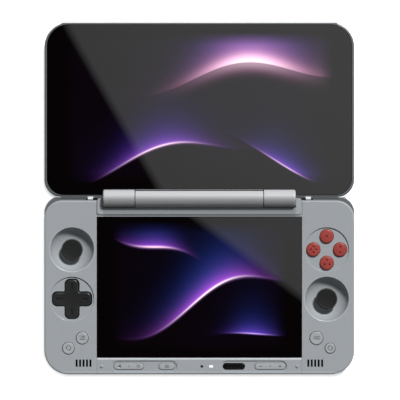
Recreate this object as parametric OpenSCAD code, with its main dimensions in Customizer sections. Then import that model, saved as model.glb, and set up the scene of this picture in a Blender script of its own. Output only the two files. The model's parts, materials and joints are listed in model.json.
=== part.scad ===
// Clamshell handheld game console, lying open flat on its feet.
// Millimetres. +Z up, +X to the player's right, +Y from the player towards the lid.
// The origin is on the table, straight under the hinge axis and midway between the sides.

/* [Body] */
// Width of the base and of the lid
body_w = 179.8; // [176:0.2:190]
// Distance from the hinge axis to the front edge of the base and to the far edge of the lid
half_d = 102; // [100.5:0.5:110]
// Radius of the outer corners
corner_r = 14; // [12.5:0.5:15]
// Radius of the face's corners beside the shoulder buttons
shoulder_corner_r = 10.5; // [9:0.5:12]
// Radius of the corners where the base and the lid meet
meeting_corner_r = 10; // [9:0.5:12]
// Height of the base from its underside to its face
base_h = 14; // [13.8:0.1:15]
// Height of the seam between the two shells above the underside
seam_h = 6.8; // [6.8:0.1:7.2]
// Wall of the base's shells
wall = 1.6; // [1.3:0.1:1.8]
// Round on the edge of the base's face
face_edge = 1.1; // [0.6:0.1:1.4]
// Round on the edge of the underside
under_edge = 2.4; // [1.5:0.1:3]
// Height that the rubber feet stand out of the underside
foot_h = 0.6; // [0.4:0.1:1]
// Length of a rubber foot
foot_w = 15; // [10:1:18]
// Width of a rubber foot
foot_d = 5; // [4:0.5:6]

/* [Lid] */
// Thickness of the lid
lid_h = 8.4; // [8.2:0.1:9.5]
// Wall of the lid's back shell
lid_wall = 1.5; // [1.2:0.1:1.8]
// Thickness of the frame round the upper glass
frame_t = 2.4; // [2.1:0.1:2.6]
// Width of that frame's rim, seen from the front
rim_w = 1.6; // [1.2:0.1:2.4]
// Round on the edge of the frame
rim_edge = 0.7; // [0.4:0.1:1]
// Round on the edge of the lid's back
lid_edge = 2.6; // [1.5:0.1:3]
// Gap that the bumpers keep between the faces when the lid is shut
closed_gap = 1.4; // [1.3:0.1:2]

/* [Hinge] */
// Radius of the hinge barrels
barrel_r = 5; // [4.8:0.1:5.3]
// Length of the middle barrel, which is fixed to the base
barrel_len = 74; // [66:1:76]
// Length of each outer knuckle, which is fixed to the lid
knuckle_len = 18.4; // [18:0.2:19]
// Round on the outer end of a knuckle
knuckle_edge = 1; // [0.5:0.1:1.5]
// Radius of the hinge shafts
shaft_r = 2; // [1.8:0.1:2.2]
// Height of the raised hinge block over the face
block_rise = 0.5; // [0.2:0.1:0.8]
// Depth of the raised hinge block from the axis
block_d = 9.6; // [9:0.1:9.8]

/* [Screens] */
// Width of the picture on the upper screen
upper_picture_w = 155; // [150:1:156]
// Depth of the picture on the upper screen
upper_picture_d = 87.2; // [84:0.2:88]
// Width of the picture on the lower screen
lower_picture_w = 101.6; // [98:0.2:104]
// Depth of the picture on the lower screen
lower_picture_d = 76.2; // [74:0.2:77]
// Width of the lower glass
lower_glass_w = 118.8; // [116:0.2:119.4]
// Depth of the lower glass
lower_glass_d = 81.6; // [80.8:0.1:81.8]
// Thickness of both cover glasses
glass_t = 1.1; // [0.9:0.1:1.2]
// Thickness of both display panels
panel_t = 2; // [1.6:0.1:2.2]

/* [Sticks] */
// Distance of the sticks, pad and buttons from the middle of the base
control_x = 73.8; // [73.4:0.1:74.4]
// Distance of the row nearer the hinge from the hinge axis
near_row = 29.7; // [29.3:0.1:30.2]
// Distance of the row nearer the player from the hinge axis
far_row = 58.3; // [57.8:0.1:58.8]
// Radius of a stick's bowl at the face
bowl_r = 12.7; // [12.2:0.1:12.9]
// Depth of a stick's bowl
bowl_depth = 5.8; // [5.6:0.1:5.9]
// Radius of a stick's thumb cap
cap_r = 6.3; // [5.8:0.1:6.5]
// Drop of the thumb cap's top below the face
cap_drop = 0.7; // [0.6:0.1:1.2]
// Drop of a stick's pivot below the face
pivot_drop = 9.5; // [9.3:0.1:9.6]

/* [Buttons] */
// Radius of the dish round the pad and round the four face buttons
dish_r = 12.8; // [12.4:0.1:13]
// Depth of those dishes
dish_depth = 0.8; // [0.5:0.1:1]
// Span of the direction pad
pad_span = 22.6; // [22:0.2:24]
// Width of an arm of the direction pad
pad_arm = 7.9; // [7.6:0.1:9]
// Radius of a face button
face_button_r = 4; // [3.6:0.1:4.2]
// Distance of a face button from the middle of its dish
face_button_pitch = 7.75; // [7.4:0.05:7.9]
// Depth of the long buttons on the front bar
bar_button_d = 3.6; // [3.2:0.1:3.8]
// Running gap round every button
button_gap = 0.2; // [0.15:0.05:0.3]

/* [Hidden] */
$fn = 48;
cut = 40;
half_w = body_w / 2;
z_under = foot_h;
z_seam = z_under + seam_h;
z_face = z_under + base_h;
z_floor = z_under + wall;
z_ceiling = z_face - wall;
z_axis = z_face + closed_gap / 2;
z_back = z_face - lid_h;
z_frame = z_face - frame_t;

// Where the two halves meet beside the barrels
lid_near = 0.95;
frame_step = 0.35;
base_rear = 0.55;
base_corner_past = 0.85;
lid_corner_past = 0.2;
face_rear = -1.2;
seat_gap = 0.05;
swing_gap = 0.3;

// Lower screen, front bar and what lies under them
screen_gap = 0.1;
screen_rear = -(block_d + 1.1);
screen_front = screen_rear - lower_glass_d;
screen_y = (screen_rear + screen_front) / 2;
z_glass = z_face - glass_t;
ledge_w = 1.5;
ledge_t = 1.2;
bar_rear = screen_front - screen_gap;
bar_half = lower_glass_w / 2 - screen_gap;
bar_chamfer = 0.9;
panel_margin = 3.2;
panel_rim = 1.5;
z_panel = z_glass - panel_t;
midframe_t = 0.7;
z_midframe = z_panel - 0.2 - midframe_t;

// Front bar controls
bar_y = -(half_d - 4.6);
well_w = 37.9;
well_d = 6.9;
well_depth = 0.6;
well_x = 31.85;
back_rocker_w = 17.3;
back_rocker_x = -40.9;
menu_w = 9.3;
menu_x = -18.9;
power_w = 12.6;
power_x = 20;
volume_w = 17.8;
volume_x = 41;
bar_button_edge = 0.4;
bar_button_top = z_face - 0.1;
bar_flange = 0.55;
bar_flange_t = 0.8;
bar_flange_drop = 0.6;
bar_travel = 0.4;
microphone_x = 1.5;
microphone_r = 0.6;
light_x = 6.8;
light_w = 2.5;
light_d = 1.4;
bumper_x = 56.6;
bumper_r = 1.0;
bumper_h = closed_gap - 0.3;
front_board_z = 6.9;
board_t = 0.8;
switch_gap = 0.1;

// Shoulder buttons, triggers and their pins
notch_in = half_w - 27.8;
pocket_in = half_w - 24.7;
shoulder_in = half_w - 23.9;
pocket_front = -14.2;
shoulder_front = -13.8;
shoulder_wall = 2.2;
shoulder_low = z_seam + 0.5;
shoulder_high = z_ceiling - 0.2;
shoulder_pin_x = half_w - 3.7;
shoulder_pin_y = -11.2;
shoulder_pin_r = 0.8;
shoulder_rib_x = shoulder_in + 3;
shoulder_switch_y = -5.4;
pin_gap = 0.05;
trigger_out = half_w - 7.9;
trigger_low = z_floor + 0.6;
trigger_high = z_seam;
trigger_pin_y = -2;
trigger_pin_r = 0.6;
trigger_boss_r = 1.3;
pin_reach = 1.4;
trigger_pin_z = trigger_high - trigger_boss_r;

// Sticks
stick_floor_r = 5.5;
bowl_wall = 1.2;
bowl_lip = 0.45;
bowl_span = bowl_r - stick_floor_r;
bowl_up = (bowl_span * bowl_span - bowl_depth * bowl_depth) / (2 * bowl_depth);
bowl_round = bowl_depth + bowl_up;
z_pivot = z_face - pivot_drop;
dome_r = 5.6;
dome_t = 0.8;
dome_low = 3;
stick_post_r = 1.5;
cap_t = 1;
cap_hollow = 0.4;
cap_roof = 0.8;
cap_neck_r = 3;
cap_press = 0.5;
yoke_out = 4.5;
yoke_in = 3;
yoke_half = 1.1;
yoke_axle_r = 0.9;
housing_half = 8.4;
housing_wall = 0.8;
housing_top = z_face - bowl_depth - bowl_wall - 0.5;
stick_pin_r = 0.7;

// Direction pad and face buttons
z_dish = z_face - dish_depth;
dish_wall = 1.2;
dish_lip = 0.3;
z_dish_under = z_dish - dish_wall;
pad_top = z_face + 0.3;
pad_corner = 3.1;
pad_edge = 0.7;
pad_gap = 0.45;
pad_flange = 1.2;
pad_flange_t = 0.8;
z_pad_flange = z_dish_under - 2.2;
pad_ball_r = 1.6;
z_pad_ball = z_pad_flange + 0.2;
face_button_top = z_face + 0.7;
face_button_edge = 0.5;
flange_w = 0.7;
flange_t = 0.9;
flange_drop = 0.5;
face_button_travel = 0.9;
side_board_z = 7.8;
membrane_t = 0.6;
z_membrane = side_board_z + board_t;
side_board_in = lower_glass_w / 2 + 5.2;
side_board_out = half_w - 3.5;
side_board_front = -(half_d - 13);
side_board_rear = -16.4;
board_hole_r = 10.6;

// Small round buttons: place, radius
round_buttons = [[-67.9, -81, 3.55], [-75.9, -86.9, 3.5], [67.8, -81, 3.9], [75.7, -86.9, 3]];
round_button_top = z_face + 0.3;
round_button_travel = 0.5;

// Speaker slots
slot_w = 1.15;
slot_d = 4.2;
slot_pitch = 2;
slot_count = 5;
slot_x = half_w - 22.8;
slot_y = -(half_d - 6.5);
speaker_in = 6;
speaker_out = 7;
speaker_half_d = 4.2;
speaker_sunk = 3;
speaker_drop = 0.6;
cone_r = 3.4;

// Screws and feet
screw_r = 0.9;
screw_head_r = 1.8;
screw_head_t = 1;
boss_r = 2.2;
base_screw_places = [[lower_glass_w / 2 + 3.2, -12.4], [lower_glass_w / 2 + 2.5, -44],
  [half_w - 5.9, -(half_d - 10.2)]];
lid_screw_places = [[half_w - 4.9, 12], [half_w - 4.9, half_d - 11.5]];
foot_set = 0.5;
foot_places = [[half_w - 17.9, -6], [half_w - 21.9, -(half_d - 8)]];

// Inside the base
battery_size = [108, 37, 6.4];
battery_edge = 0.8;
battery_front = screen_front + 5;
board_size = [80, 38, 1];
board_x = -58;
board_rear = -8;
z_board = 5.6;
z_board_top = z_board + board_size[2];
// On the board: place, width, depth and height of each chip or socket
processor = [46, 12, 14, 14, 1.6];
screen_socket = [28, 31.5, 20, 4, 1.1];
chips = [processor, screen_socket, [62, 14, 11, 9, 1.2], [30, 8, 12, 10, 1.2], [12, 12, 10, 14, 1],
  [10, 30, 8, 3, 1.4], [66, 27, 6, 6, 1.2]];
fan_x = 41;
fan_y = -31;
fan_half = 16;
fan_h = 6.4;
fan_wall = 0.8;
fan_hub_r = 5;
fan_blade_r = 13.6;
fan_blades = 17;
fan_eye_r = 11;
fins_count = 15;
fin_pitch = 2;
fin_t = 0.5;
fins_d = 8;
pipe_w = 5;
pipe_t = 1.4;
pipe_over = 12;
inner_lift = 0.5;
vent_count = 10;
vent_pitch = 3;
vent_w = 1.3;
vent_d = 16;
exit_count = 20;
exit_pitch = 2;
exit_w = 1.1;
exit_h = 4.2;

// Sockets along the front edge
usb_w = 9;
usb_d = 7.2;
usb_t = 3.3;
usb_wall = 0.35;
jack_x = 33;
jack_r = 1.8;
jack_len = 12.4;
jack_half = 2.9;
jack_h = 4.4;
card_x = -33;
card_w = 13;
card_half = 5.6;
card_t = 1.5;
card_d = 12.4;
front_in = -(half_d - 1.2);
jack_hole_r = 2.6;
socket_hole = 10;

// Hinge
barrel_half = barrel_len / 2;
knuckle_in = barrel_half + swing_gap;
knuckle_out = knuckle_in + knuckle_len;
block_half = knuckle_out + 3.6;
trough_wall = 1.4;
block_corner = 1.5;
block_edge = 0.4;
groove_w = 0.35;
groove_depth = 0.45;
z_vent_top = z_seam + 1;
sleeve_r = 3.2;
barrel_bore_r = 3.7;
barrel_end = 6;
leaf_x = knuckle_in + 3.4;
leaf_w = 9.4;
leaf_t = 0.8;
leaf_len = 15;
z_leaf = z_axis - barrel_r + 0.1;
sleeve_len = 12.6;
knuckle_cap = 1.7;
flex_r = 1.1;
flex_t = 0.3;
flex_w = 16;
flex_x = -27;
flex_tail_w = 2.4;
flex_fall_y = -3;
flex_end_y = board_rear - board_size[1] + screen_socket[1] + 1;
z_flex = z_board_top + screen_socket[4];
flex_rise_y = 1.8;
flex_lid_end = 22;
z_flex_lid = z_back + lid_wall + 0.3;

light_grey = [0.62, 0.64, 0.66];
dark_grey = [0.27, 0.29, 0.30];
charcoal = [0.14, 0.15, 0.15];
red = [0.60, 0.25, 0.22];
black_glass = [0.04, 0.04, 0.05];
board_green = [0.10, 0.30, 0.20];
steel = [0.70, 0.71, 0.73];
copper = [0.72, 0.45, 0.30];
rubber = [0.10, 0.10, 0.11];

// Basic forms

// Rectangle with round upper corners, from x = 0 to w
module round_top_2d(w, h, e) {
  square([w, h - e]);
  translate([e, 0]) square([w - 2 * e, h]);
  for (x = [e, w - e]) translate([x, h - e]) circle(r = e);
}

// Disc with a round upper edge
module soft_disc(r, h, e) {
  rotate_extrude() {
    square([r, h - e]);
    square([r - e, h]);
    translate([r - e, h - e]) circle(r = e);
  }
}

// Flat outline, mirrored about x = 0, with its own corner radius at front and rear
module outline(hw, y0, y1, rf, rr) {
  translate([-hw, y0 + rf]) square([2 * hw, y1 - rr - y0 - rf]);
  translate([rf - hw, y0]) square([2 * (hw - rf), y1 - y0 - rr]);
  translate([rr - hw, y0 + rf]) square([2 * (hw - rr), y1 - y0 - rf]);
  for (s = [-1, 1]) {
    translate([s * (hw - rf), y0 + rf]) circle(r = rf);
    translate([s * (hw - rr), y1 - rr]) circle(r = rr);
  }
}

// Plate of that outline with a round upper edge, from z = 0 to h
module soft_plate(hw, y0, y1, rf, rr, h, e) {
  side = y1 - rr - y0 - rf;
  if (side > 0.01)
    translate([-hw, y1 - rr, 0]) rotate([90, 0, 0]) linear_extrude(side) round_top_2d(2 * hw, h, e);
  translate([rf - hw, y0, 0]) rotate([90, 0, 90]) linear_extrude(2 * (hw - rf)) round_top_2d(y1 - y0, h, e);
  if (rr != rf)
    translate([rr - hw, y0 + rf, 0]) rotate([90, 0, 90])
      linear_extrude(2 * (hw - rr)) round_top_2d(y1 - y0 - rf, h, e);
  for (s = [-1, 1]) {
    translate([s * (hw - rf), y0 + rf, 0]) soft_disc(rf, h, e);
    translate([s * (hw - rr), y1 - rr, 0]) soft_disc(rr, h, e);
  }
}

// Long button or hole with half-round ends
module pill(w, d, h, e) {
  for (s = [-1, 1]) translate([s * (w - d) / 2, 0, 0]) soft_disc(d / 2, h, e);
  translate([(d - w) / 2, -d / 2, 0]) rotate([90, 0, 90]) linear_extrude(w - d) round_top_2d(d, h, e);
}

module pill_hole(w, d, h) {
  for (s = [-1, 1]) translate([s * (w - d) / 2, 0, 0]) cylinder(r = d / 2, h = h);
  translate([(d - w) / 2, -d / 2, 0]) cube([w - d, d, h]);
}

// Box between two corners
module span(a, b) {
  translate(a) cube([b[0] - a[0], b[1] - a[1], b[2] - a[2]]);
}

// Cylinder along X between x0 and x1, on the hinge axis
module on_axis(x0, x1, r) {
  translate([x0, 0, z_axis]) rotate([0, 90, 0]) cylinder(r = r, h = x1 - x0);
}

module both_sides() {
  for (s = [0, 1]) mirror([s, 0, 0]) children();
}

// Outer forms of the base and of the lid

module base_form(inset, z0, z1) {
  translate([0, 0, z0]) linear_extrude(z1 - z0)
    outline(half_w - inset, -half_d + inset, base_rear + base_corner_past - inset,
      corner_r - inset, meeting_corner_r - inset);
}

module face_form(inset, z0, z1) {
  translate([0, 0, z0]) linear_extrude(z1 - z0)
    outline(half_w - inset, -half_d + inset, face_rear - inset, corner_r - inset, shoulder_corner_r - inset);
}

module lid_form(inset, z0, z1) {
  translate([0, 0, z0]) linear_extrude(z1 - z0)
    outline(half_w - inset, lid_near - lid_corner_past + inset, half_d - inset,
      meeting_corner_r - inset, corner_r - inset);
}

// Everything that lies behind the line y, and in front of it
module behind(y) {
  span([-body_w, y, -cut], [body_w, y + 3 * cut, cut]);
}

module before(y) {
  span([-body_w, y - 3 * cut, -cut], [body_w, y, cut]);
}

// Base shells

module bowl_2d(grow) {
  intersection() {
    union() {
      translate([stick_floor_r, bowl_up]) circle(r = bowl_round + grow);
      translate([0, -bowl_depth - grow]) square([stick_floor_r, 2 * bowl_depth]);
    }
    translate([0, -cut / 2]) square([cut, cut]);
  }
}

module stick_bowl(grow) {
  translate([0, 0, z_face]) rotate_extrude() bowl_2d(grow);
}

// Chamfer round a hole in the face
module lip(r, t) {
  translate([0, 0, z_face - t]) cylinder(r1 = r, r2 = r + t, h = t);
}

module pad_cross(span_w, arm_w, z0, z1) {
  translate([0, 0, z0]) linear_extrude(z1 - z0) for (a = [0, 90]) rotate(a)
    outline(span_w / 2, -arm_w / 2, arm_w / 2, pad_corner, pad_corner);
}

module face_button_places() {
  translate([control_x, -near_row, 0]) for (a = [0 : 90 : 270]) rotate(a) translate([0, face_button_pitch, 0])
    children();
}

module speaker_slots() {
  for (s = [-1, 1], i = [0 : slot_count - 1])
    translate([s * slot_x + (i - (slot_count - 1) / 2) * slot_pitch - slot_w / 2, slot_y - slot_d / 2,
      z_ceiling - 1])
      cube([slot_w, slot_d, wall + 2]);
}

// Hollows for the swinging knuckles and seat for the fixed middle barrel
module barrel_trough() {
  both_sides() on_axis(barrel_half, knuckle_out + swing_gap, barrel_r + swing_gap);
  on_axis(-barrel_half - 1, barrel_half + 1, barrel_r + seat_gap);
}

module flex_slot() {
  span([flex_x - 0.3, flex_fall_y - 0.6, z_seam - 2], [flex_x + flex_w + 0.3, flex_fall_y + 0.6, z_axis]);
}

module top_shell_solid() {
  difference() {
    union() {
      translate([0, 0, z_seam]) soft_plate(half_w, -half_d, face_rear, corner_r, shoulder_corner_r,
        z_face - z_seam, face_edge);
      // Raised hinge block
      translate([0, 0, z_vent_top + 0.1]) soft_plate(block_half, -block_d, 0.1, block_corner, block_corner,
        z_face + block_rise - z_vent_top - 0.1, block_edge);
    }
    // Inside of the shell
    difference() {
      face_form(wall, z_seam - 1, z_ceiling);
      span([-lower_glass_w / 2 - wall, screen_front - wall, z_glass - ledge_t],
        [lower_glass_w / 2 + wall, screen_rear + wall, z_face]);
      on_axis(-block_half, block_half, barrel_r + swing_gap + trough_wall);
      for (s = [-1, 1], p = base_screw_places) translate([s * p[0], p[1], z_seam])
        cylinder(r = boss_r, h = base_h);
      for (s = [-1, 1]) translate([s * control_x, s < 0 ? -near_row : -far_row, 0]) stick_bowl(bowl_wall);
      for (s = [-1, 1]) translate([s * control_x, s < 0 ? -far_row : -near_row, z_dish_under])
        cylinder(r = dish_r + 0.8, h = base_h);
    }
  }
}

module base_top_shell() {
  color(light_grey) difference() {
    top_shell_solid();
    barrel_trough();
    // Glass pocket and the opening under it
    span([-lower_glass_w / 2 - screen_gap, bar_rear, z_glass],
      [lower_glass_w / 2 + screen_gap, screen_rear + screen_gap, z_face + 1]);
    span([-lower_glass_w / 2 + ledge_w, screen_front + ledge_w, z_seam],
      [lower_glass_w / 2 - ledge_w, screen_rear - ledge_w, z_face]);
    // Room for the front bar
    span([-bar_half - screen_gap, -half_d - 1, z_seam - 1], [bar_half + screen_gap, bar_rear, z_face + 1]);
    // Pockets for the shoulder buttons
    both_sides() span([pocket_in, pocket_front, z_seam - 1], [body_w, 5, z_ceiling]);
    // Groove round the hinge block
    difference() {
      span([-block_half - groove_w, -block_d - groove_w, z_face - groove_depth],
        [block_half + groove_w, 1, z_face + 0.01]);
      translate([0, 0, z_face - 1]) linear_extrude(2)
        outline(block_half, -block_d, 2, block_corner, block_corner);
    }
    // Sticks
    for (s = [-1, 1]) translate([s * control_x, s < 0 ? -near_row : -far_row, 0]) {
      stick_bowl(0);
      lip(bowl_r, bowl_lip);
      translate([0, 0, z_seam - 1]) cylinder(r = stick_floor_r, h = base_h);
    }
    // Dishes with the pad's cross and the face buttons' holes
    for (s = [-1, 1]) translate([s * control_x, s < 0 ? -far_row : -near_row, 0]) {
      translate([0, 0, z_dish]) cylinder(r = dish_r, h = 5);
      lip(dish_r, dish_lip);
    }
    translate([-control_x, -far_row, 0])
      pad_cross(pad_span + 2 * pad_gap, pad_arm + 2 * pad_gap, z_seam, z_face);
    face_button_places() translate([0, 0, z_seam]) cylinder(r = face_button_r + button_gap, h = base_h);
    for (b = round_buttons) translate([b[0], b[1], z_seam]) cylinder(r = b[2] + button_gap, h = base_h);
    speaker_slots();
    flex_slot();
    for (s = [-1, 1], p = base_screw_places) translate([s * p[0], p[1], z_seam - 1])
      cylinder(r = screw_r + pin_gap, h = 4.6);
  }
}

module vent_slots() {
  for (i = [0 : vent_count - 1]) translate([fan_x + (i - (vent_count - 1) / 2) * vent_pitch - vent_w / 2,
      fan_y - vent_d / 2, z_under - 1]) cube([vent_w, vent_d, wall + 2]);
}

module base_bottom_shell() {
  difference() {
    color(light_grey) union() {
      difference() {
        translate([0, 0, z_seam]) mirror([0, 0, 1]) soft_plate(half_w, -half_d, base_rear + base_corner_past,
          corner_r, meeting_corner_r, seam_h, under_edge);
        base_form(wall, z_floor, z_seam + 1);
        // Open middle of the rear wall, and openings for the triggers
        span([-notch_in - 0.01, -cut, z_floor], [notch_in + 0.01, cut, z_seam + 1]);
        both_sides() span([pocket_in, -8, z_floor], [trigger_out + 0.3, cut, z_seam + 1]);
      }
      for (s = [-1, 1], p = base_screw_places) translate([s * p[0], p[1], z_floor - 0.5])
        cylinder(r = boss_r, h = z_seam - z_floor + 0.5);
      both_sides() {
        // Seats of the trigger's pin and of the shoulder button's pin
        span([notch_in, -3.8, z_floor - 0.5], [pocket_in, face_rear, z_seam]);
        span([trigger_out + 0.3, -3.8, z_floor - 0.5], [trigger_out + 2, -0.7, z_seam]);
        translate([shoulder_pin_x, shoulder_pin_y, z_floor - 0.5])
          cylinder(r = shoulder_pin_r + 1, h = z_seam - z_floor + 0.5);
      }
      // Rests under the battery and the mainboard
      for (x = [-48, 0, 48]) span([x - 2, battery_front + 4, z_floor - 0.5],
        [x + 2, battery_front + battery_size[1] - 4, z_floor + inner_lift]);
      for (x = [board_x + 6, board_x + 70], y = [board_rear - 6, board_rear - 32])
        translate([x, y, z_floor - 0.5]) cylinder(r = 2, h = z_board - z_floor + 0.5);
    }
    behind(base_rear);
    both_sides() {
      // Gap beside the shoulder button that one can see through
      span([notch_in, face_rear, -1], [pocket_in, cut, z_seam + 1]);
      translate([shoulder_pin_x, shoulder_pin_y, z_floor + 0.3])
        cylinder(r = shoulder_pin_r + 0.02, h = base_h);
      translate([notch_in - 1, trigger_pin_y, trigger_pin_z]) rotate([0, 90, 0])
        cylinder(r = trigger_pin_r + 0.02, h = trigger_out + pin_reach - notch_in + 1);
      for (p = foot_places) translate([p[0], p[1], z_under - 1])
        pill_hole(foot_w + 0.2, foot_d + 0.2, 1 + foot_set);
    }
    for (s = [-1, 1], p = base_screw_places) translate([s * p[0], p[1], z_under - 1]) {
      cylinder(r = screw_r + pin_gap, h = base_h);
      cylinder(r = screw_head_r + 0.15, h = 1 + screw_head_t + 0.2);
    }
    vent_slots();
    // Sockets in the front wall
    translate([0, -half_d + 5, front_board_z - usb_t / 2]) rotate([90, 0, 0])
      translate([0, 0, -2]) pill_hole(usb_w + 0.3, usb_t + 0.3, socket_hole);
    translate([jack_x, -half_d - 1, front_board_z - jack_h / 2]) rotate([-90, 0, 0])
      cylinder(r = jack_hole_r, h = 5);
    span([jack_x - jack_half - 0.1, front_in - 0.05, z_floor + 0.2],
      [jack_x + jack_half + 0.1, front_in + 1, z_seam + 1]);
    span([card_x - card_w / 2 - 0.2, -half_d - 1, front_board_z - card_t - 0.1],
      [card_x + card_w / 2 + 0.2, -half_d + 4, front_board_z + 0.2]);
  }
}

module bar_button_places() {
  for (b = [[back_rocker_x, back_rocker_w], [menu_x, menu_w], [power_x, power_w], [volume_x, volume_w]])
    translate([b[0], bar_y, 0]) pill_hole(b[1] + 2 * button_gap, bar_button_d + 2 * button_gap, cut);
}

module front_bar() {
  color(light_grey) difference() {
    intersection() {
      translate([0, 0, z_seam]) soft_plate(half_w, -half_d, face_rear, corner_r, shoulder_corner_r,
        z_face - z_seam, face_edge);
      span([-bar_half, -half_d - 1, z_seam], [bar_half, bar_rear, z_face + 1]);
    }
    span([-bar_half + wall, -half_d + wall, z_seam - 1], [bar_half - wall, bar_rear + 1, z_ceiling]);
    // Chamfer along the glass
    translate([-bar_half - 1, bar_rear, z_face]) rotate([90, 0, 90]) linear_extrude(2 * bar_half + 2)
      polygon([[-bar_chamfer, 0.001], [0.001, 0.001], [0.001, -bar_chamfer / 2]]);
    for (s = [-1, 1]) translate([s * well_x, bar_y - 0.1, z_face - well_depth]) pill_hole(well_w, well_d, 2);
    bar_button_places();
    translate([microphone_x, bar_y, z_seam]) cylinder(r = microphone_r, h = base_h);
    translate([light_x, bar_y, z_seam]) pill_hole(light_w, light_d, base_h);
    for (s = [-1, 1]) translate([s * bumper_x, bar_y, z_face - 0.6]) cylinder(r = bumper_r, h = 2);
  }
}

module rear_vent_cover() {
  color(dark_grey) difference() {
    span([-notch_in + 0.1, -1.1, z_floor], [notch_in - 0.1, 0.3, z_vent_top]);
    for (i = [0 : exit_count - 1])
      translate([fan_x + (i - (exit_count - 1) / 2) * exit_pitch - exit_w, -2, z_floor + 1])
        cube([exit_w, 3, exit_h]);
  }
}

// Lower screen

module lower_screen_glass() {
  color(black_glass) translate([0, 0, z_glass]) linear_extrude(glass_t)
    outline(lower_glass_w / 2, screen_front, screen_rear, 0.6, 0.6);
}

module lower_display_panel() {
  color(black_glass) span([-lower_picture_w / 2 - panel_margin, screen_y - lower_picture_d / 2 - 0.9, z_panel],
    [lower_picture_w / 2 + panel_margin, screen_y + lower_picture_d / 2 + 0.9, z_glass]);
}

module display_midframe() {
  color(steel) difference() {
    span([-lower_glass_w / 2 + 0.4, screen_front + 1.8, z_midframe],
      [lower_glass_w / 2 - 0.4, screen_rear - 2.2, z_midframe + midframe_t]);
    for (x = [-40, -20, 0, 20, 40]) translate([x, screen_y, z_midframe - 1]) cylinder(r = 6, h = 3);
    span([flex_x - 0.4, screen_rear - 6, z_midframe - 1], [flex_x + flex_w + 0.4, screen_rear, z_face]);
  }
}

// Inside the base

module mainboard() {
  color(board_green) translate([board_x, board_rear - board_size[1], z_board]) {
    difference() {
      cube(board_size);
      for (x = [2.5, board_size[0] - 2.5], y = [2.5, board_size[1] - 2.5])
        translate([x, y, -1]) cylinder(r = 1.2, h = 3);
    }
    for (c = chips) translate([c[0], c[1], board_size[2] - 0.01]) cube([c[2], c[3], c[4]]);
  }
}

module battery_pack() {
  color([0.2, 0.2, 0.22]) translate([0, battery_front, z_floor + inner_lift]) {
    difference() {
      soft_plate(battery_size[0] / 2, 0, battery_size[1], 2 * battery_edge, 2 * battery_edge,
        battery_size[2], battery_edge);
      span([-0.4, -1, battery_size[2] - 0.6], [0.4, cut + 20, battery_size[2] + 1]);
    }
    span([-12, battery_size[1] - 0.01, 1], [-4, battery_size[1] + 2, 3]);
  }
}

module fan_housing() {
  color([0.15, 0.15, 0.16]) difference() {
    span([fan_x - fan_half, fan_y - fan_half, z_floor + inner_lift],
      [fan_x + fan_half, fan_y + fan_half, z_floor + inner_lift + fan_h]);
    difference() {
      union() {
        translate([fan_x, fan_y, z_floor + inner_lift + fan_wall])
          cylinder(r = fan_half - 1, h = fan_h - 2 * fan_wall);
        span([fan_x - fan_half + 1, fan_y, z_floor + inner_lift + fan_wall],
          [fan_x + fan_half - 1, fan_y + fan_half + 1, z_floor + inner_lift + fan_h - fan_wall]);
      }
      // Post that carries the rotor
      translate([fan_x, fan_y, z_floor]) cylinder(r = 1, h = fan_h - 1);
    }
    translate([fan_x, fan_y, z_floor]) difference() {
      cylinder(r = fan_eye_r, h = fan_wall + 0.5);
      cylinder(r = 6, h = fan_h);
      for (a = [0, 120, 240]) rotate(a) span([0, -1, 0], [fan_eye_r + 1, 1, fan_h]);
    }
  }
}

module fan_rotor() {
  color([0.12, 0.12, 0.13]) translate([fan_x, fan_y, z_floor + inner_lift + fan_wall + 0.4]) difference() {
    union() {
      cylinder(r = fan_hub_r, h = fan_h - 2 * fan_wall - 0.8);
      for (i = [0 : fan_blades - 1]) rotate(i * 360 / fan_blades) translate([fan_hub_r - 0.5, -0.25, 0])
        cube([fan_blade_r - fan_hub_r + 0.5, 0.5, fan_h - 2 * fan_wall - 1]);
    }
    translate([0, 0, -1]) cylinder(r = 1.05, h = fan_h - 1.2);
  }
}

module heat_sink() {
  x0 = fan_x - (fins_count - 1) / 2 * fin_pitch;
  y0 = fan_y + fan_half + 0.4;
  z0 = z_floor + inner_lift;
  z1 = z_board_top + processor[4];
  pipe_x = board_x + processor[0] + processor[2] / 2;
  color(copper) {
    for (i = [0 : fins_count - 1]) span([x0 + i * fin_pitch - fin_t / 2, y0, z0],
      [x0 + i * fin_pitch + fin_t / 2, y0 + fins_d, z1 - 0.4]);
    span([x0 - fin_t / 2, y0, z1 - 0.41],
      [fan_x + (fins_count - 1) / 2 * fin_pitch + fin_t / 2, y0 + fins_d, z1]);
    // Flat heat pipe to the processor
    span([pipe_x, y0 + 1, z1 - 0.01], [x0 + pipe_over, y0 + 1 + pipe_w, z1 + pipe_t]);
    span([pipe_x, board_rear - board_size[1] + processor[1] + 1, z1], [pipe_x + pipe_w, y0 + 2, z1 + pipe_t]);
  }
}

module stick_housing() {
  h = housing_half;
  difference() {
    span([-h, -h, z_floor], [h, h, housing_top]);
    span([-h + housing_wall, -h + housing_wall, z_floor + 0.3],
      [h - housing_wall, h - housing_wall, housing_top + 1]);
    translate([-cut, 0, z_pivot]) rotate([0, 90, 0]) cylinder(r = yoke_axle_r + pin_gap, h = 2 * cut);
  }
}

module stick_housings() {
  color(steel) for (s = [-1, 1]) translate([s * control_x, s < 0 ? -near_row : -far_row, 0]) stick_housing();
}

module stick_yoke() {
  reach = housing_half - 0.1;
  color(steel) translate([0, 0, z_pivot]) difference() {
    union() {
      span([-yoke_out, -yoke_out, -yoke_half], [yoke_out, yoke_out, yoke_half]);
      translate([-reach, 0, 0]) rotate([0, 90, 0]) cylinder(r = yoke_axle_r, h = 2 * reach);
    }
    span([-yoke_in, -yoke_in, -cut], [yoke_in, yoke_in, cut]);
    translate([0, -cut, 0]) rotate([-90, 0, 0]) cylinder(r = stick_pin_r + pin_gap, h = 2 * cut);
  }
}

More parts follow.
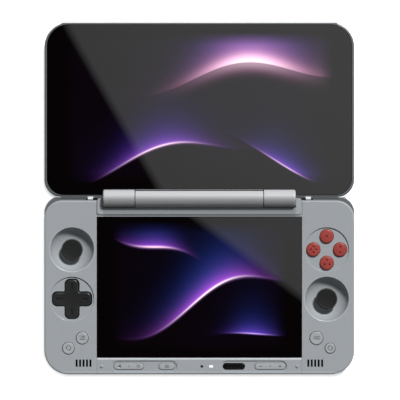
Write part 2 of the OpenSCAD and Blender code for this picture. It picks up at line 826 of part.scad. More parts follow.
module stick_shaft() {
  post_top = pivot_drop - cap_drop - cap_roof - cap_press - 0.1;
  color(steel) translate([0, 0, z_pivot]) {
    cylinder(r = stick_post_r, h = post_top);
    translate([0, 0, -yoke_half]) cylinder(r = stick_post_r, h = yoke_half + 0.01);
    translate([0, -yoke_out + 0.1, 0]) rotate([-90, 0, 0]) cylinder(r = stick_pin_r, h = 2 * yoke_out - 0.2);
    // Dust dome under the bowl's opening
    difference() {
      sphere(r = dome_r);
      sphere(r = dome_r - dome_t);
      span([-cut, -cut, -cut], [cut, cut, dome_low]);
    }
  }
}

module stick_cap() {
  top = pivot_drop - cap_drop;
  color(charcoal) translate([0, 0, z_pivot]) difference() {
    union() {
      translate([0, 0, top - cap_t]) soft_disc(cap_r, cap_t, 0.5);
      translate([0, 0, top - cap_t - 1.1]) cylinder(r1 = cap_neck_r + 1, r2 = cap_r - 0.4, h = 1.11);
      translate([0, 0, dome_r + cap_press + 0.1])
        cylinder(r = cap_neck_r, h = top - cap_t - dome_r - cap_press);
    }
    translate([0, 0, dome_r]) cylinder(r = stick_post_r + pin_gap, h = top - dome_r - cap_roof);
    // Hollow for the thumb
    translate([0, 0, top + 20 - cap_hollow]) sphere(r = 20);
  }
}

module left_stick() {
  translate([-control_x, -near_row, 0]) children();
}

module right_stick() {
  translate([control_x, -far_row, 0]) children();
}

module left_stick_yoke() { left_stick() stick_yoke(); }
module left_stick_shaft() { left_stick() stick_shaft(); }
module left_stick_cap() { left_stick() stick_cap(); }
module right_stick_yoke() { right_stick() stick_yoke(); }
module right_stick_shaft() { right_stick() stick_shaft(); }
module right_stick_cap() { right_stick() stick_cap(); }

// Direction pad and buttons

module dpad_pivot() {
  color(steel) translate([-control_x, -far_row, 0]) {
    translate([0, 0, z_pad_ball]) sphere(r = pad_ball_r);
    translate([0, 0, z_membrane + 0.05]) cylinder(r = 0.8, h = z_pad_ball - z_membrane - 0.05);
  }
}

module dpad() {
  color(charcoal) translate([-control_x, -far_row, 0]) difference() {
    union() {
      for (a = [0, 90]) rotate(a) translate([0, 0, z_pad_flange]) soft_plate(pad_span / 2, -pad_arm / 2,
        pad_arm / 2, pad_corner, pad_corner, pad_top - z_pad_flange, pad_edge);
      pad_cross(pad_span + 2 * pad_flange, pad_arm + 2 * pad_flange, z_pad_flange,
        z_pad_flange + pad_flange_t);
    }
    translate([0, 0, z_pad_ball]) sphere(r = pad_ball_r + pin_gap);
    translate([0, 0, z_pad_flange - 1]) cylinder(r = pad_ball_r + pin_gap, h = z_pad_ball - z_pad_flange + 1);
    // Dimple in the middle and grooves on the arms
    translate([0, 0, pad_top + 8.6]) sphere(r = 9);
    for (a = [0 : 90 : 270]) rotate(a)
      span([pad_span / 2 - 5.4, -0.25, pad_top - 0.3], [pad_span / 2 - 1.8, 0.25, pad_top + 1]);
  }
}

module face_button() {
  low = z_dish_under - flange_drop - flange_t;
  plunger = low - z_membrane - membrane_t - face_button_travel - switch_gap;
  color(red) difference() {
    union() {
      translate([0, 0, low]) soft_disc(face_button_r, face_button_top - low, face_button_edge);
      translate([0, 0, low]) cylinder(r = face_button_r + flange_w, h = flange_t);
      translate([0, 0, low - plunger]) cylinder(r = 2, h = plunger + 0.01);
    }
    // Hollow of the button's underside
    translate([0, 0, low + 1]) cylinder(r = face_button_r - 1.2, h = 1);
  }
}

module face_button_node(a) {
  translate([control_x, -near_row, 0]) rotate(a) translate([0, face_button_pitch, 0]) rotate(-a) face_button();
}

module face_button_top() { face_button_node(0); }
module face_button_right() { face_button_node(-90); }
module face_button_bottom() { face_button_node(180); }
module face_button_left() { face_button_node(90); }

module round_button(b) {
  low = z_ceiling - 0.4 - flange_t;
  color(light_grey) translate([b[0], b[1], low]) {
    soft_disc(b[2], round_button_top - low, 0.4);
    cylinder(r = b[2] + flange_w, h = flange_t);
    translate([0, 0, -1.2]) cylinder(r = 1.2, h = 1.21);
  }
}

module left_round_button_upper() { round_button(round_buttons[0]); }
module left_round_button_lower() { round_button(round_buttons[1]); }
module right_round_button_upper() { round_button(round_buttons[2]); }
module right_round_button_lower() { round_button(round_buttons[3]); }

module bar_button(x, w, stems) {
  low = z_ceiling - bar_flange_drop - bar_flange_t;
  translate([x, bar_y, 0]) {
    translate([0, 0, low]) pill(w, bar_button_d, bar_button_top - low, bar_button_edge);
    translate([0, 0, low]) pill_hole(w + 2 * bar_flange, bar_button_d + 2 * bar_flange, bar_flange_t);
    for (s = stems) translate([s, 0, low - 1.2]) cylinder(r = 1, h = 1.21);
  }
}

module back_home_rocker() {
  color(light_grey) bar_button(back_rocker_x, back_rocker_w, [-back_rocker_w / 3, back_rocker_w / 3]);
}

module menu_button() { color(light_grey) bar_button(menu_x, menu_w, [0]); }
module power_button() { color(charcoal) bar_button(power_x, power_w, [0]); }

module volume_rocker() {
  color(light_grey) bar_button(volume_x, volume_w, [-volume_w / 3, volume_w / 3]);
}

module button_boards() {
  low = z_ceiling - bar_flange_drop - bar_flange_t - 1.2;
  color(board_green) {
    for (s = [-1, 1]) difference() {
      mirror([s < 0 ? 1 : 0, 0, 0]) {
        span([side_board_in, side_board_front, side_board_z],
          [side_board_out, side_board_rear, side_board_z + board_t]);
        // Tab that holds the shoulder button's switch
        span([shoulder_rib_x - 1.5, side_board_rear - 0.01, side_board_z],
          [shoulder_rib_x + 3, shoulder_switch_y - 1, side_board_z + board_t]);
        span([shoulder_rib_x - 0.4, shoulder_switch_y - 3.2, side_board_z + board_t - 0.01],
          [shoulder_rib_x + 1.9, shoulder_switch_y, side_board_z + board_t + 2.4]);
      }
      translate([s * control_x, s < 0 ? -near_row : -far_row, 0]) cylinder(r = board_hole_r, h = cut);
    }
    // Switches under the small round buttons
    for (b = round_buttons) translate([b[0] - 1.5, b[1] - 1.5, side_board_z + board_t - 0.01])
      cube([3, 3, z_ceiling - 0.4 - flange_t - 1.2 - round_button_travel - switch_gap
        - side_board_z - board_t]);
    span([-bar_half + wall + 0.3, -half_d + wall + 0.3, front_board_z],
      [bar_half - wall - 0.3, bar_rear - 0.4, front_board_z + board_t]);
    for (x = [back_rocker_x - back_rocker_w / 3, back_rocker_x + back_rocker_w / 3, menu_x, power_x,
        volume_x - volume_w / 3, volume_x + volume_w / 3])
      translate([x - 1.6, bar_y - 1.4, front_board_z + board_t - 0.01])
        cube([3.2, 2.8, low - bar_travel - switch_gap - front_board_z - board_t]);
  }
}

module button_membranes() {
  color(rubber) {
    difference() {
      translate([-control_x, -far_row, z_membrane]) cylinder(r = 11.4, h = membrane_t);
      translate([-control_x, -far_row, 0]) cylinder(r = 1.6, h = cut);
    }
    translate([control_x, -near_row, z_membrane]) cylinder(r = 12, h = membrane_t);
  }
}

module speakers() {
  color([0.18, 0.18, 0.19]) both_sides() {
    span([slot_x - speaker_in, slot_y - speaker_half_d, z_seam - speaker_sunk],
      [slot_x + speaker_out, slot_y + speaker_half_d, z_ceiling - speaker_drop]);
    translate([slot_x + (speaker_out - speaker_in) / 2, slot_y, z_ceiling - speaker_drop - 0.01])
      cylinder(r = cone_r, h = 0.3);
  }
}

module lid_bumpers() {
  color([0.75, 0.76, 0.78]) for (s = [-1, 1]) translate([s * bumper_x, bar_y, z_face - 0.6])
    soft_disc(bumper_r - 0.02, 0.6 + bumper_h, 0.35);
}

module rubber_feet() {
  color(rubber) both_sides() for (p = foot_places) translate([p[0], p[1], z_under + foot_set])
    mirror([0, 0, 1]) pill(foot_w, foot_d, foot_h + foot_set, 0.25);
}

module screw(length) {
  difference() {
    union() {
      cylinder(r = screw_head_r, h = screw_head_t);
      cylinder(r = screw_r, h = length);
    }
    translate([0, 0, -0.1]) cylinder(r = 0.8, h = 0.7, $fn = 6);
  }
}

module base_screws() {
  color(steel) for (s = [-1, 1], p = base_screw_places) translate([s * p[0], p[1], z_under + 0.2])
    screw(z_seam + 3 - z_under);
}

module usb_c_port() {
  color(steel) translate([0, front_in, front_board_z - usb_t / 2]) rotate([-90, 0, 0]) difference() {
    pill_hole(usb_w, usb_t, usb_d);
    translate([0, 0, -1]) pill_hole(usb_w - 2 * usb_wall, usb_t - 2 * usb_wall, usb_d);
  }
  // Tongue of the socket
  color(charcoal) span([-3.3, front_in + 1.2, front_board_z - usb_t / 2 - 0.35],
    [3.3, front_in + usb_d - 0.5, front_board_z - usb_t / 2 + 0.35]);
}

module card_slot() {
  color(steel) difference() {
    span([card_x - card_w / 2, front_in, front_board_z - card_t],
      [card_x + card_w / 2, front_in + card_d, front_board_z]);
    span([card_x - card_half, front_in - 1, front_board_z - card_t + 0.3],
      [card_x + card_half, front_in + card_d - 1, front_board_z - 0.4]);
  }
}

module audio_jack() {
  color(charcoal) translate([jack_x, front_in, front_board_z - jack_h / 2]) difference() {
    span([-jack_half, 0, -jack_h / 2], [jack_half, jack_len, jack_h / 2]);
    translate([0, -1, 0]) rotate([-90, 0, 0]) cylinder(r = jack_r, h = jack_len);
  }
}

module status_light() {
  color([0.95, 0.96, 1]) translate([light_x, bar_y, front_board_z + board_t])
    pill_hole(light_w - 0.1, light_d - 0.1, z_face - 0.05 - front_board_z - board_t);
}

// Shoulder buttons and triggers, drawn on the right

module corner_ring(t, z0, z1, e) {
  difference() {
    translate([0, 0, z0]) soft_plate(half_w, -half_d, base_rear + base_corner_past,
      corner_r, meeting_corner_r, z1 - z0, e);
    translate([0, 0, z0 - 1]) linear_extrude(z1 - z0 + 2)
      outline(half_w - t, -half_d + t, base_rear - t, corner_r - t, corner_r - t);
    behind(base_rear);
  }
}

module shoulder_button() {
  color(dark_grey) difference() {
    union() {
      intersection() {
        corner_ring(shoulder_wall, shoulder_low, shoulder_high, 0.6);
        span([shoulder_in, shoulder_front, z_seam], [body_w, cut, z_face]);
      }
      translate([shoulder_pin_x, shoulder_pin_y, shoulder_low])
        cylinder(r = shoulder_pin_r + 1, h = shoulder_high - shoulder_low);
      // Rib that meets the switch
      span([shoulder_rib_x, -4.5, shoulder_low + 1], [shoulder_rib_x + 1.5, base_rear - 1, shoulder_high - 1]);
    }
    translate([shoulder_pin_x, shoulder_pin_y, z_seam]) cylinder(r = shoulder_pin_r + pin_gap, h = base_h);
  }
}

module trigger() {
  color(dark_grey) difference() {
    union() {
      intersection() {
        corner_ring(shoulder_wall, trigger_low, trigger_high, 0.5);
        span([shoulder_in, -8, 0], [trigger_out, cut, z_face]);
      }
      for (x = [shoulder_in, trigger_out - 1.8]) {
        translate([x, trigger_pin_y, trigger_pin_z]) rotate([0, 90, 0]) cylinder(r = trigger_boss_r, h = 1.8);
        span([x, trigger_pin_y, trigger_pin_z - 1], [x + 1.8, x > shoulder_in ? -1 : -0.4, trigger_pin_z + 1]);
      }
    }
    translate([shoulder_in - 1, trigger_pin_y, trigger_pin_z]) rotate([0, 90, 0])
      cylinder(r = trigger_pin_r + pin_gap, h = cut);
  }
}

module left_shoulder_button() { mirror([1, 0, 0]) shoulder_button(); }
module right_shoulder_button() { shoulder_button(); }
module left_trigger() { mirror([1, 0, 0]) trigger(); }
module right_trigger() { trigger(); }

module shoulder_pins() {
  color(steel) both_sides() {
    translate([shoulder_pin_x, shoulder_pin_y, z_floor + 0.35])
      cylinder(r = shoulder_pin_r, h = z_ceiling - z_floor - 0.4);
    translate([notch_in + 0.2, trigger_pin_y, trigger_pin_z]) rotate([0, 90, 0])
      cylinder(r = trigger_pin_r, h = trigger_out + pin_reach - notch_in - 0.3);
  }
}

// Hinge

module hinge_centre_barrel() {
  color(light_grey) difference() {
    on_axis(-barrel_half, barrel_half, barrel_r);
    on_axis(-barrel_half + barrel_end, barrel_half - barrel_end, barrel_bore_r);
    on_axis(-barrel_half - 1, barrel_half + 1, shaft_r + 0.02);
    flex_slot();
  }
}

module hinge_shafts() {
  color(steel) {
    on_axis(barrel_half - barrel_end + 0.5, knuckle_in + 1.2 + sleeve_len, shaft_r);
    difference() {
      on_axis(-knuckle_in - 1.2 - sleeve_len, -barrel_half + barrel_end - 0.5, shaft_r);
      on_axis(-cut * 2, 0, shaft_r - 0.6);
    }
  }
}

module knuckle() {
  color(light_grey) difference() {
    translate([knuckle_in, 0, z_axis]) rotate([0, 90, 0]) soft_disc(barrel_r, knuckle_len, knuckle_edge);
    on_axis(knuckle_in - 1, knuckle_out - knuckle_cap, sleeve_r + pin_gap);
    // Window towards the lid for the leaf and the display cable
    span([leaf_x - 0.3, 0.7, z_leaf - 0.3], [knuckle_out - knuckle_cap, cut, z_axis - 1]);
  }
}

module hinge_knuckle_right() { knuckle(); }
module hinge_knuckle_left() { mirror([1, 0, 0]) knuckle(); }

module hinge_brackets() {
  color(steel) both_sides() difference() {
    union() {
      on_axis(knuckle_in + 1, knuckle_in + 1 + sleeve_len, sleeve_r);
      span([leaf_x, 1, z_leaf], [leaf_x + leaf_w, 3.2, z_axis - 1.4]);
      span([leaf_x, 1, z_leaf], [leaf_x + leaf_w, leaf_len, z_leaf + leaf_t]);
    }
    on_axis(0, cut * 3, shaft_r + pin_gap);
  }
}

module display_flex_lower() {
  color([0.75, 0.5, 0.2]) {
    on_axis(-barrel_half + 0.2, flex_x + flex_w, flex_r);
    translate([flex_x, 0, 0]) rotate([90, 0, 90]) linear_extrude(flex_w) polygon([
      [-flex_r + 0.1, z_axis - 0.2], [-flex_r + 0.1, z_axis + flex_t - 0.2],
      [flex_fall_y - flex_t / 2, z_axis + flex_t - 0.2],
      [flex_fall_y - flex_t / 2, z_flex + flex_t], [flex_end_y, z_flex + flex_t],
      [flex_end_y, z_flex], [flex_fall_y + flex_t / 2, z_flex], [flex_fall_y + flex_t / 2, z_axis - 0.2]]);
  }
}

module display_flex_upper() {
  x0 = -(knuckle_out - knuckle_cap - 0.2);
  color([0.75, 0.5, 0.2]) {
    on_axis(x0, -barrel_half - 0.1, flex_r);
    translate([x0, 0, 0]) rotate([90, 0, 90]) linear_extrude(flex_tail_w) polygon([
      [flex_r - 0.3, z_axis - 0.5], [flex_r - 0.3, z_axis - 0.5 - flex_t], [flex_rise_y, z_axis - 0.5 - flex_t],
      [flex_rise_y, z_flex_lid], [flex_lid_end, z_flex_lid], [flex_lid_end, z_flex_lid + flex_t],
      [flex_rise_y + flex_t, z_flex_lid + flex_t], [flex_rise_y + flex_t, z_axis - 0.5]]);
  }
}

// Lid

module glass_form(inset, z0, z1) {
  translate([0, 0, z0]) linear_extrude(z1 - z0) outline(half_w - rim_w - inset, lid_near + 0.95 + inset,
    half_d - 1.3 - inset, 9.6 - inset, corner_r - rim_w - inset);
}

module lid_back_shell() {
  color(light_grey) difference() {
    union() {
      difference() {
        translate([0, 0, z_frame]) mirror([0, 0, 1]) soft_plate(half_w, lid_near - lid_corner_past, half_d,
          meeting_corner_r, corner_r, z_frame - z_back, lid_edge);
        intersection() {
          lid_form(lid_wall, z_back + lid_wall, z_frame + 1);
          difference() {
            behind(lid_near + lid_wall);
            on_axis(-block_half, block_half, barrel_r + swing_gap + trough_wall);
          }
        }
      }
      for (s = [-1, 1], p = lid_screw_places) translate([s * p[0], p[1], z_back + 1])
        cylinder(r = boss_r, h = z_frame - z_back - 1);
      // Pads under the hinge leaves
      both_sides() span([leaf_x, 8.5, z_back + 1], [leaf_x + leaf_w, leaf_len, z_leaf]);
    }
    before(lid_near);
    on_axis(-barrel_half - swing_gap, barrel_half + swing_gap, barrel_r + swing_gap);
    both_sides() {
      on_axis(knuckle_in - swing_gap, knuckle_out + swing_gap, barrel_r + seat_gap);
      span([leaf_x - 0.3, 0, z_leaf - 0.3], [knuckle_out - knuckle_cap + 0.3, 8.2, z_frame + 1]);
    }
    // Way in for the display cable
    span([-(knuckle_out - knuckle_cap) - 0.3, 0, z_back + lid_wall],
      [-leaf_x - leaf_w - 0.2, 8.2, z_frame + 1]);
    for (s = [-1, 1], p = lid_screw_places) translate([s * p[0], p[1], z_back - 1]) {
      cylinder(r = screw_r + pin_gap, h = lid_h + 2);
      cylinder(r = screw_head_r + 0.15, h = 1 + screw_head_t + 0.2);
    }
  }
}

module lid_front_frame() {
  color(dark_grey) difference() {
    translate([0, 0, z_frame]) soft_plate(half_w - frame_step, lid_near - lid_corner_past + frame_step,
      half_d - frame_step, meeting_corner_r - frame_step, corner_r - frame_step, frame_t, rim_edge);
    before(lid_near);
    glass_form(-screen_gap, z_glass, z_face + 1);
    difference() {
      glass_form(1.6, z_frame - 1, z_face);
      for (s = [-1, 1], p = lid_screw_places) translate([s * p[0], p[1], z_frame])
        cylinder(r = boss_r, h = frame_t);
      span([-block_half, 0, z_frame], [block_half, 5.9, z_face]);
    }
    on_axis(-barrel_half - swing_gap, barrel_half + swing_gap, barrel_r + swing_gap);
    both_sides() {
      on_axis(knuckle_in - swing_gap, knuckle_out + swing_gap, barrel_r + seat_gap);
      span([leaf_x - 0.3, 0, z_frame - 1], [knuckle_out - knuckle_cap + 0.3, 3.5, z_axis - 0.9]);
    }
    for (s = [-1, 1], p = lid_screw_places) translate([s * p[0], p[1], z_frame - 1])
      cylinder(r = screw_r + pin_gap, h = 1.8);
  }
}

module upper_screen_glass() {
  color(black_glass) difference() {
    glass_form(0, z_glass, z_face);
    on_axis(-knuckle_out - swing_gap, knuckle_out + swing_gap, barrel_r + swing_gap);
  }
}

module upper_display_panel() {
  color(black_glass) translate([0, (half_d - 1.3 + lid_near + 0.95) / 2 + 0.9, z_glass - panel_t])
    span([-upper_picture_w / 2 - panel_rim, -upper_picture_d / 2 - panel_rim, 0],
      [upper_picture_w / 2 + panel_rim, upper_picture_d / 2 + panel_rim, panel_t]);
}

module lid_screws() {
  color(steel) for (s = [-1, 1], p = lid_screw_places) translate([s * p[0], p[1], z_back + 0.2])
    screw(z_frame - z_back + 0.4);
}

base_top_shell();
base_bottom_shell();
front_bar();
lower_screen_glass();
lower_display_panel();
display_midframe();
mainboard();
battery_pack();
fan_housing();
heat_sink();
stick_housings();
button_boards();
button_membranes();
speakers();
lid_bumpers();
rubber_feet();
base_screws();
usb_c_port();
card_slot();
audio_jack();
status_light();
rear_vent_cover();
hinge_centre_barrel();
hinge_shafts();
display_flex_lower();
shoulder_pins();
fan_rotor();
lid_back_shell();
lid_front_frame();
upper_screen_glass();
upper_display_panel();
hinge_knuckle_left();
hinge_knuckle_right();
hinge_brackets();
lid_screws();
display_flex_upper();
left_stick_yoke();
left_stick_shaft();
left_stick_cap();
right_stick_yoke();
right_stick_shaft();
right_stick_cap();
dpad_pivot();
dpad();
face_button_top();
face_button_right();
face_button_bottom();
face_button_left();
left_round_button_upper();
left_round_button_lower();
right_round_button_upper();
right_round_button_lower();
back_home_rocker();
menu_button();
power_button();
volume_rocker();
left_shoulder_button();
right_shoulder_button();
left_trigger();
right_trigger();
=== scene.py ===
"""Looks of a clamshell handheld game console that lies open flat, seen from straight above.

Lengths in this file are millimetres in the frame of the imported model, and become metres where a mesh
is written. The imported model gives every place; this file gives each surface its finish, and builds the
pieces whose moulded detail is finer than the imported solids.
"""

from __future__ import annotations

import json
import logging
import math
from collections.abc import Callable, Sequence
from dataclasses import dataclass, field
from enum import Enum

import bpy
import numpy as np
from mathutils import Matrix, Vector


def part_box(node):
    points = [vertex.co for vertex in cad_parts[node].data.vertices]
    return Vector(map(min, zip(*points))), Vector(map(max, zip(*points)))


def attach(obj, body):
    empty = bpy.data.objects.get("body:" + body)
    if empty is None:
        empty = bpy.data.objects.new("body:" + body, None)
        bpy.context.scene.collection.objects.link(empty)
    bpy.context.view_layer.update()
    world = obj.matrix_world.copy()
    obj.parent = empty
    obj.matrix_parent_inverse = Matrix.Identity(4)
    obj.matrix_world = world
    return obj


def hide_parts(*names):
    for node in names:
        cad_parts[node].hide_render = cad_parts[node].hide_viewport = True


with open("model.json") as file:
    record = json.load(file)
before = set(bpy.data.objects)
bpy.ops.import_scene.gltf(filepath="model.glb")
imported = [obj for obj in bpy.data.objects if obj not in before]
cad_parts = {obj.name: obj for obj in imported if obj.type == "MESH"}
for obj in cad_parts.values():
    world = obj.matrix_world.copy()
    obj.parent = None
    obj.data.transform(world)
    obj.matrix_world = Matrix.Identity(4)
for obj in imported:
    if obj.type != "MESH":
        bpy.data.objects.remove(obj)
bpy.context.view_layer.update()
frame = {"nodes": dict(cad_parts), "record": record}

log = logging.getLogger("console")

MM = 0.001
ARC_STEP = 0.25  # distance between points on a corner's arc
POLE_SHARE = 0.03  # size of a crown's last row, as a share of its edge
Colour = tuple[float, float, float]
Height = Callable[[np.ndarray, np.ndarray], np.ndarray]


def extent(node: str) -> tuple[np.ndarray, np.ndarray]:
    """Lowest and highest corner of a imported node.

    Args:
        node: the node's name.

    Returns:
        Two points in millimetres.
    """
    low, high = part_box(node)
    return np.array(low) / MM, np.array(high) / MM


def placed(name: str, data: bpy.types.ID) -> bpy.types.Object:
    """A new object at the origin that shows the data, linked into the scene."""
    thing = bpy.data.objects.new(name, data)
    bpy.context.scene.collection.objects.link(thing)
    return thing


# Outlines and surfaces


@dataclass(frozen=True)
class Outline:
    """A closed line in the plane, anticlockwise, with the outward normal at each point."""

    points: np.ndarray
    normals: np.ndarray

    @classmethod
    def circle(cls, centre: Sequence[float], radius: float, count: int = 96) -> Outline:
        """Circle: centre plus radius times (cos, sin) of equally spaced angles.

        Args:
            centre: the middle, x and y.
            radius: its radius.
            count: how many points it has.

        Returns:
            The outline.
        """
        turn = np.linspace(0, 2 * math.pi, count, endpoint=False)
        normals = np.stack([np.cos(turn), np.sin(turn)], axis=1)
        return cls(np.asarray(centre, float) + radius * normals, normals)

    @classmethod
    def rounded(cls, corners: Sequence[Sequence[float]], radii: Sequence[float], run: float = 1e9) -> Outline:
        """Polygon whose corners are arcs.

        Each arc's centre lies on the corner's bisector at radius / cos(half the turn), inside at an
        outer corner and outside at an inner one, and its normals turn from one side's to the next's.

        Args:
            corners: the corners, anticlockwise.
            radii: the radius at each corner.
            run: largest distance between points on a straight side.

        Returns:
            The outline.
        """
        corner = np.asarray(corners, float)
        leave = np.roll(corner, -1, axis=0) - corner
        leave /= np.linalg.norm(leave, axis=1)[:, None]
        side_out = np.stack([leave[:, 1], -leave[:, 0]], axis=1)
        side_in = np.roll(side_out, 1, axis=0)
        turn = np.arctan2(side_in[:, 0] * side_out[:, 1] - side_in[:, 1] * side_out[:, 0],
                          (side_in * side_out).sum(axis=1))
        sign = np.sign(turn)
        reach = (sign * radii / (1 + np.cos(turn)))[:, None]
        centre = corner - reach * (side_in + side_out)
        points, normals = [], []
        for i, radius in enumerate(radii):
            steps = max(4, int(abs(turn[i]) * radius / ARC_STEP))
            angle = math.atan2(side_in[i, 1], side_in[i, 0]) + turn[i] * np.linspace(0, 1, steps)
            facing = np.stack([np.cos(angle), np.sin(angle)], axis=1)
            points.append(centre[i] + sign[i] * radius * facing)
            normals.append(facing)
            after = (i + 1) % len(radii)
            end = centre[after] + sign[after] * radii[after] * side_out[i]
            count = int(np.linalg.norm(end - points[-1][-1]) / run)
            share = (np.arange(1, count + 1) / (count + 1))[:, None]
            points.append(points[-1][-1] * (1 - share) + end * share)
            normals.append(np.repeat(side_out[i][None], count, axis=0))
        return cls(np.concatenate(points), np.concatenate(normals))

    @classmethod
    def box(cls, low: Sequence[float], high: Sequence[float], radius: float, run: float = 1e9) -> Outline:
        """Rectangle between two corners, with one radius at all four.

        Args:
            low: its lowest corner.
            high: its highest corner.
            radius: the corners' radius.
            run: largest distance between points on a side.

        Returns:
            The outline.
        """
        corners = [(low[0], low[1]), (high[0], low[1]), (high[0], high[1]), (low[0], high[1])]
        return cls.rounded(corners, [radius] * 4, run)

    def inset(self, distance: float | np.ndarray) -> np.ndarray:
        """Points moved inwards along their normals by the distance."""
        return self.points - self.normals * distance

    def row(self, distance: float, z: float) -> np.ndarray:
        """Points moved inwards by the distance, at the height z."""
        flat = self.inset(distance)
        return np.column_stack([flat, np.full(len(flat), z)])


def edge_rows(outline: Outline, radius: float, top: Height, start: float = 0.0, steps: int = 6) -> np.ndarray:
    """Rows of a round edge between a wall and the top above it.

    At the angle a, a row lies radius (1 - cos a) inside the wall and radius (1 - sin a) under the top.

    Args:
        outline: the wall's outline.
        radius: the edge's radius.
        top: height of the top at x and y.
        start: how far inside the outline the wall stands.
        steps: how many rows the edge has.

    Returns:
        An array of rows, points and coordinates.
    """
    angle = np.linspace(0, math.pi / 2, steps)
    flat = np.stack([outline.inset(start + radius * (1 - math.cos(a))) for a in angle])
    height = top(flat[..., 0], flat[..., 1]) - radius * (1 - np.sin(angle))[:, None]
    return np.concatenate([flat, height[..., None]], axis=2)


def crown_rows(edge: np.ndarray, top: Height, rings: int) -> np.ndarray:
    """Rows that run from an edge to its middle, at middle + (edge - middle) t, with the top's height.

    Args:
        edge: the edge's points.
        top: height of the top at x and y.
        rings: how many rows there are.

    Returns:
        An array of rows, points and coordinates.
    """
    middle = (edge[:, :2].min(axis=0) + edge[:, :2].max(axis=0)) / 2
    share = np.linspace(1, POLE_SHARE, rings)[1:, None, None]
    flat = middle + (edge[None, :, :2] - middle) * share
    return np.concatenate([flat, top(flat[..., 0], flat[..., 1])[..., None]], axis=2)


def quads_over(rows: np.ndarray, first: int, closed: bool) -> list[list[int]]:
    """Quads between neighbouring rows of points.

    Args:
        rows: an array of rows, points and coordinates.
        first: number of the first point in the mesh.
        closed: whether the last row joins the first one; if not, a flat face closes each end.

    Returns:
        The faces, each as its points' numbers.
    """
    count, around = rows.shape[:2]
    here = np.arange(around)
    beside = (here + 1) % around
    lower = np.arange(count if closed else count - 1)[:, None]
    upper = (lower + 1) % count
    quads = np.stack([lower * around + here, lower * around + beside, upper * around + beside,
                      upper * around + here], axis=2)
    faces = (quads.reshape(-1, 4) + first).tolist()
    if not closed:
        faces += [(here[::-1] + first).tolist(), ((count - 1) * around + here + first).tolist()]
    return faces


def loft(name: str, rows: np.ndarray | list[np.ndarray], crease: float = 35.0, ink: np.ndarray | None = None,
         closed: bool = False) -> bpy.types.Object:
    """Closed surface over rows that run anticlockwise, from the bottom row to the top one.

    Args:
        name: the piece's name.
        rows: an array of rows, points and coordinates, in millimetres; several arrays for several solids.
        crease: edges that turn by more degrees than this stay sharp.
        ink: 1 at each point that lies in an engraved mark, and 0 elsewhere.
        closed: whether the last row joins the first one, as on a ring.

    Returns:
        The new object, at the origin.
    """
    parts = rows if isinstance(rows, list) else [rows]
    starts = np.cumsum([0] + [part.shape[0] * part.shape[1] for part in parts])
    faces = [face for part, first in zip(parts, starts) for face in quads_over(part, int(first), closed)]
    points = np.concatenate([part.reshape(-1, 3) for part in parts])
    mesh = bpy.data.meshes.new(name)
    mesh.from_pydata((points * MM).tolist(), [], faces)
    mesh.polygons.foreach_set("use_smooth", np.ones(len(faces), bool))
    mesh.set_sharp_from_angle(angle=math.radians(crease))
    if ink is not None:
        mesh.attributes.new("ink", "FLOAT", "POINT").data.foreach_set("value", ink.ravel().astype(np.float32))
    mesh.update()
    return placed(name, mesh)


def turned(profile: np.ndarray, centre: Sequence[float], count: int = 120,
           knurl: np.ndarray | None = None, teeth: int = 0) -> np.ndarray:
    """Rows of a turned form: radius times (cos, sin) of the angle, with teeth where knurl says.

    Args:
        profile: radius and height of each row.
        centre: the axis, x and y.
        count: points in a row.
        knurl: depth of the teeth on each row, or None.
        teeth: how many teeth go round.

    Returns:
        An array of rows, points and coordinates.
    """
    turn = np.linspace(0, 2 * math.pi, count, endpoint=False)
    radius = np.repeat(profile[:, :1], count, axis=1)
    if knurl is not None:
        radius = radius - knurl[:, None] * (0.5 - 0.5 * np.cos(teeth * turn))[None, :]
    flat = np.stack([centre[0] + radius * np.cos(turn), centre[1] + radius * np.sin(turn)], axis=2)
    return np.concatenate([flat, np.repeat(profile[:, 1:], count, axis=1)[..., None]], axis=2)


# Engraved marks: each gives 1 where the mark is and 0 elsewhere


def engraved(distance: np.ndarray, soft: float = 0.14) -> np.ndarray:
    """Mask of a shape from its signed distance, which is negative inside."""
    return np.clip(0.5 - distance / soft, 0, 1)


def disc_mark(x: np.ndarray, y: np.ndarray, at: tuple[float, float], radius: float) -> np.ndarray:
    """Round dimple: distance to its middle less its radius."""
    return engraved(np.hypot(x - at[0], y - at[1]) - radius)


def ring_mark(x: np.ndarray, y: np.ndarray, at: tuple[float, float], radius: float,
              line: float) -> np.ndarray:
    """Ring: distance to its circle less half its line's width."""
    return engraved(np.abs(np.hypot(x - at[0], y - at[1]) - radius) - line / 2)


def bar_mark(x: np.ndarray, y: np.ndarray, at: tuple[float, float], half: tuple[float, float]) -> np.ndarray:
    """Bar: the greater of its distances past either half size."""
    return engraved(np.maximum(np.abs(x - at[0]) - half[0], np.abs(y - at[1]) - half[1]))


def wedge_mark(x: np.ndarray, y: np.ndarray, at: tuple[float, float], size: float,
               toward: float) -> np.ndarray:
    """Triangle that points along X: narrower the nearer a point is to its tip."""
    along = (x - at[0]) * toward
    return engraved(np.maximum(np.abs(y - at[1]) - (size - along) / 2, -along - size / 2))


# Shader graphs


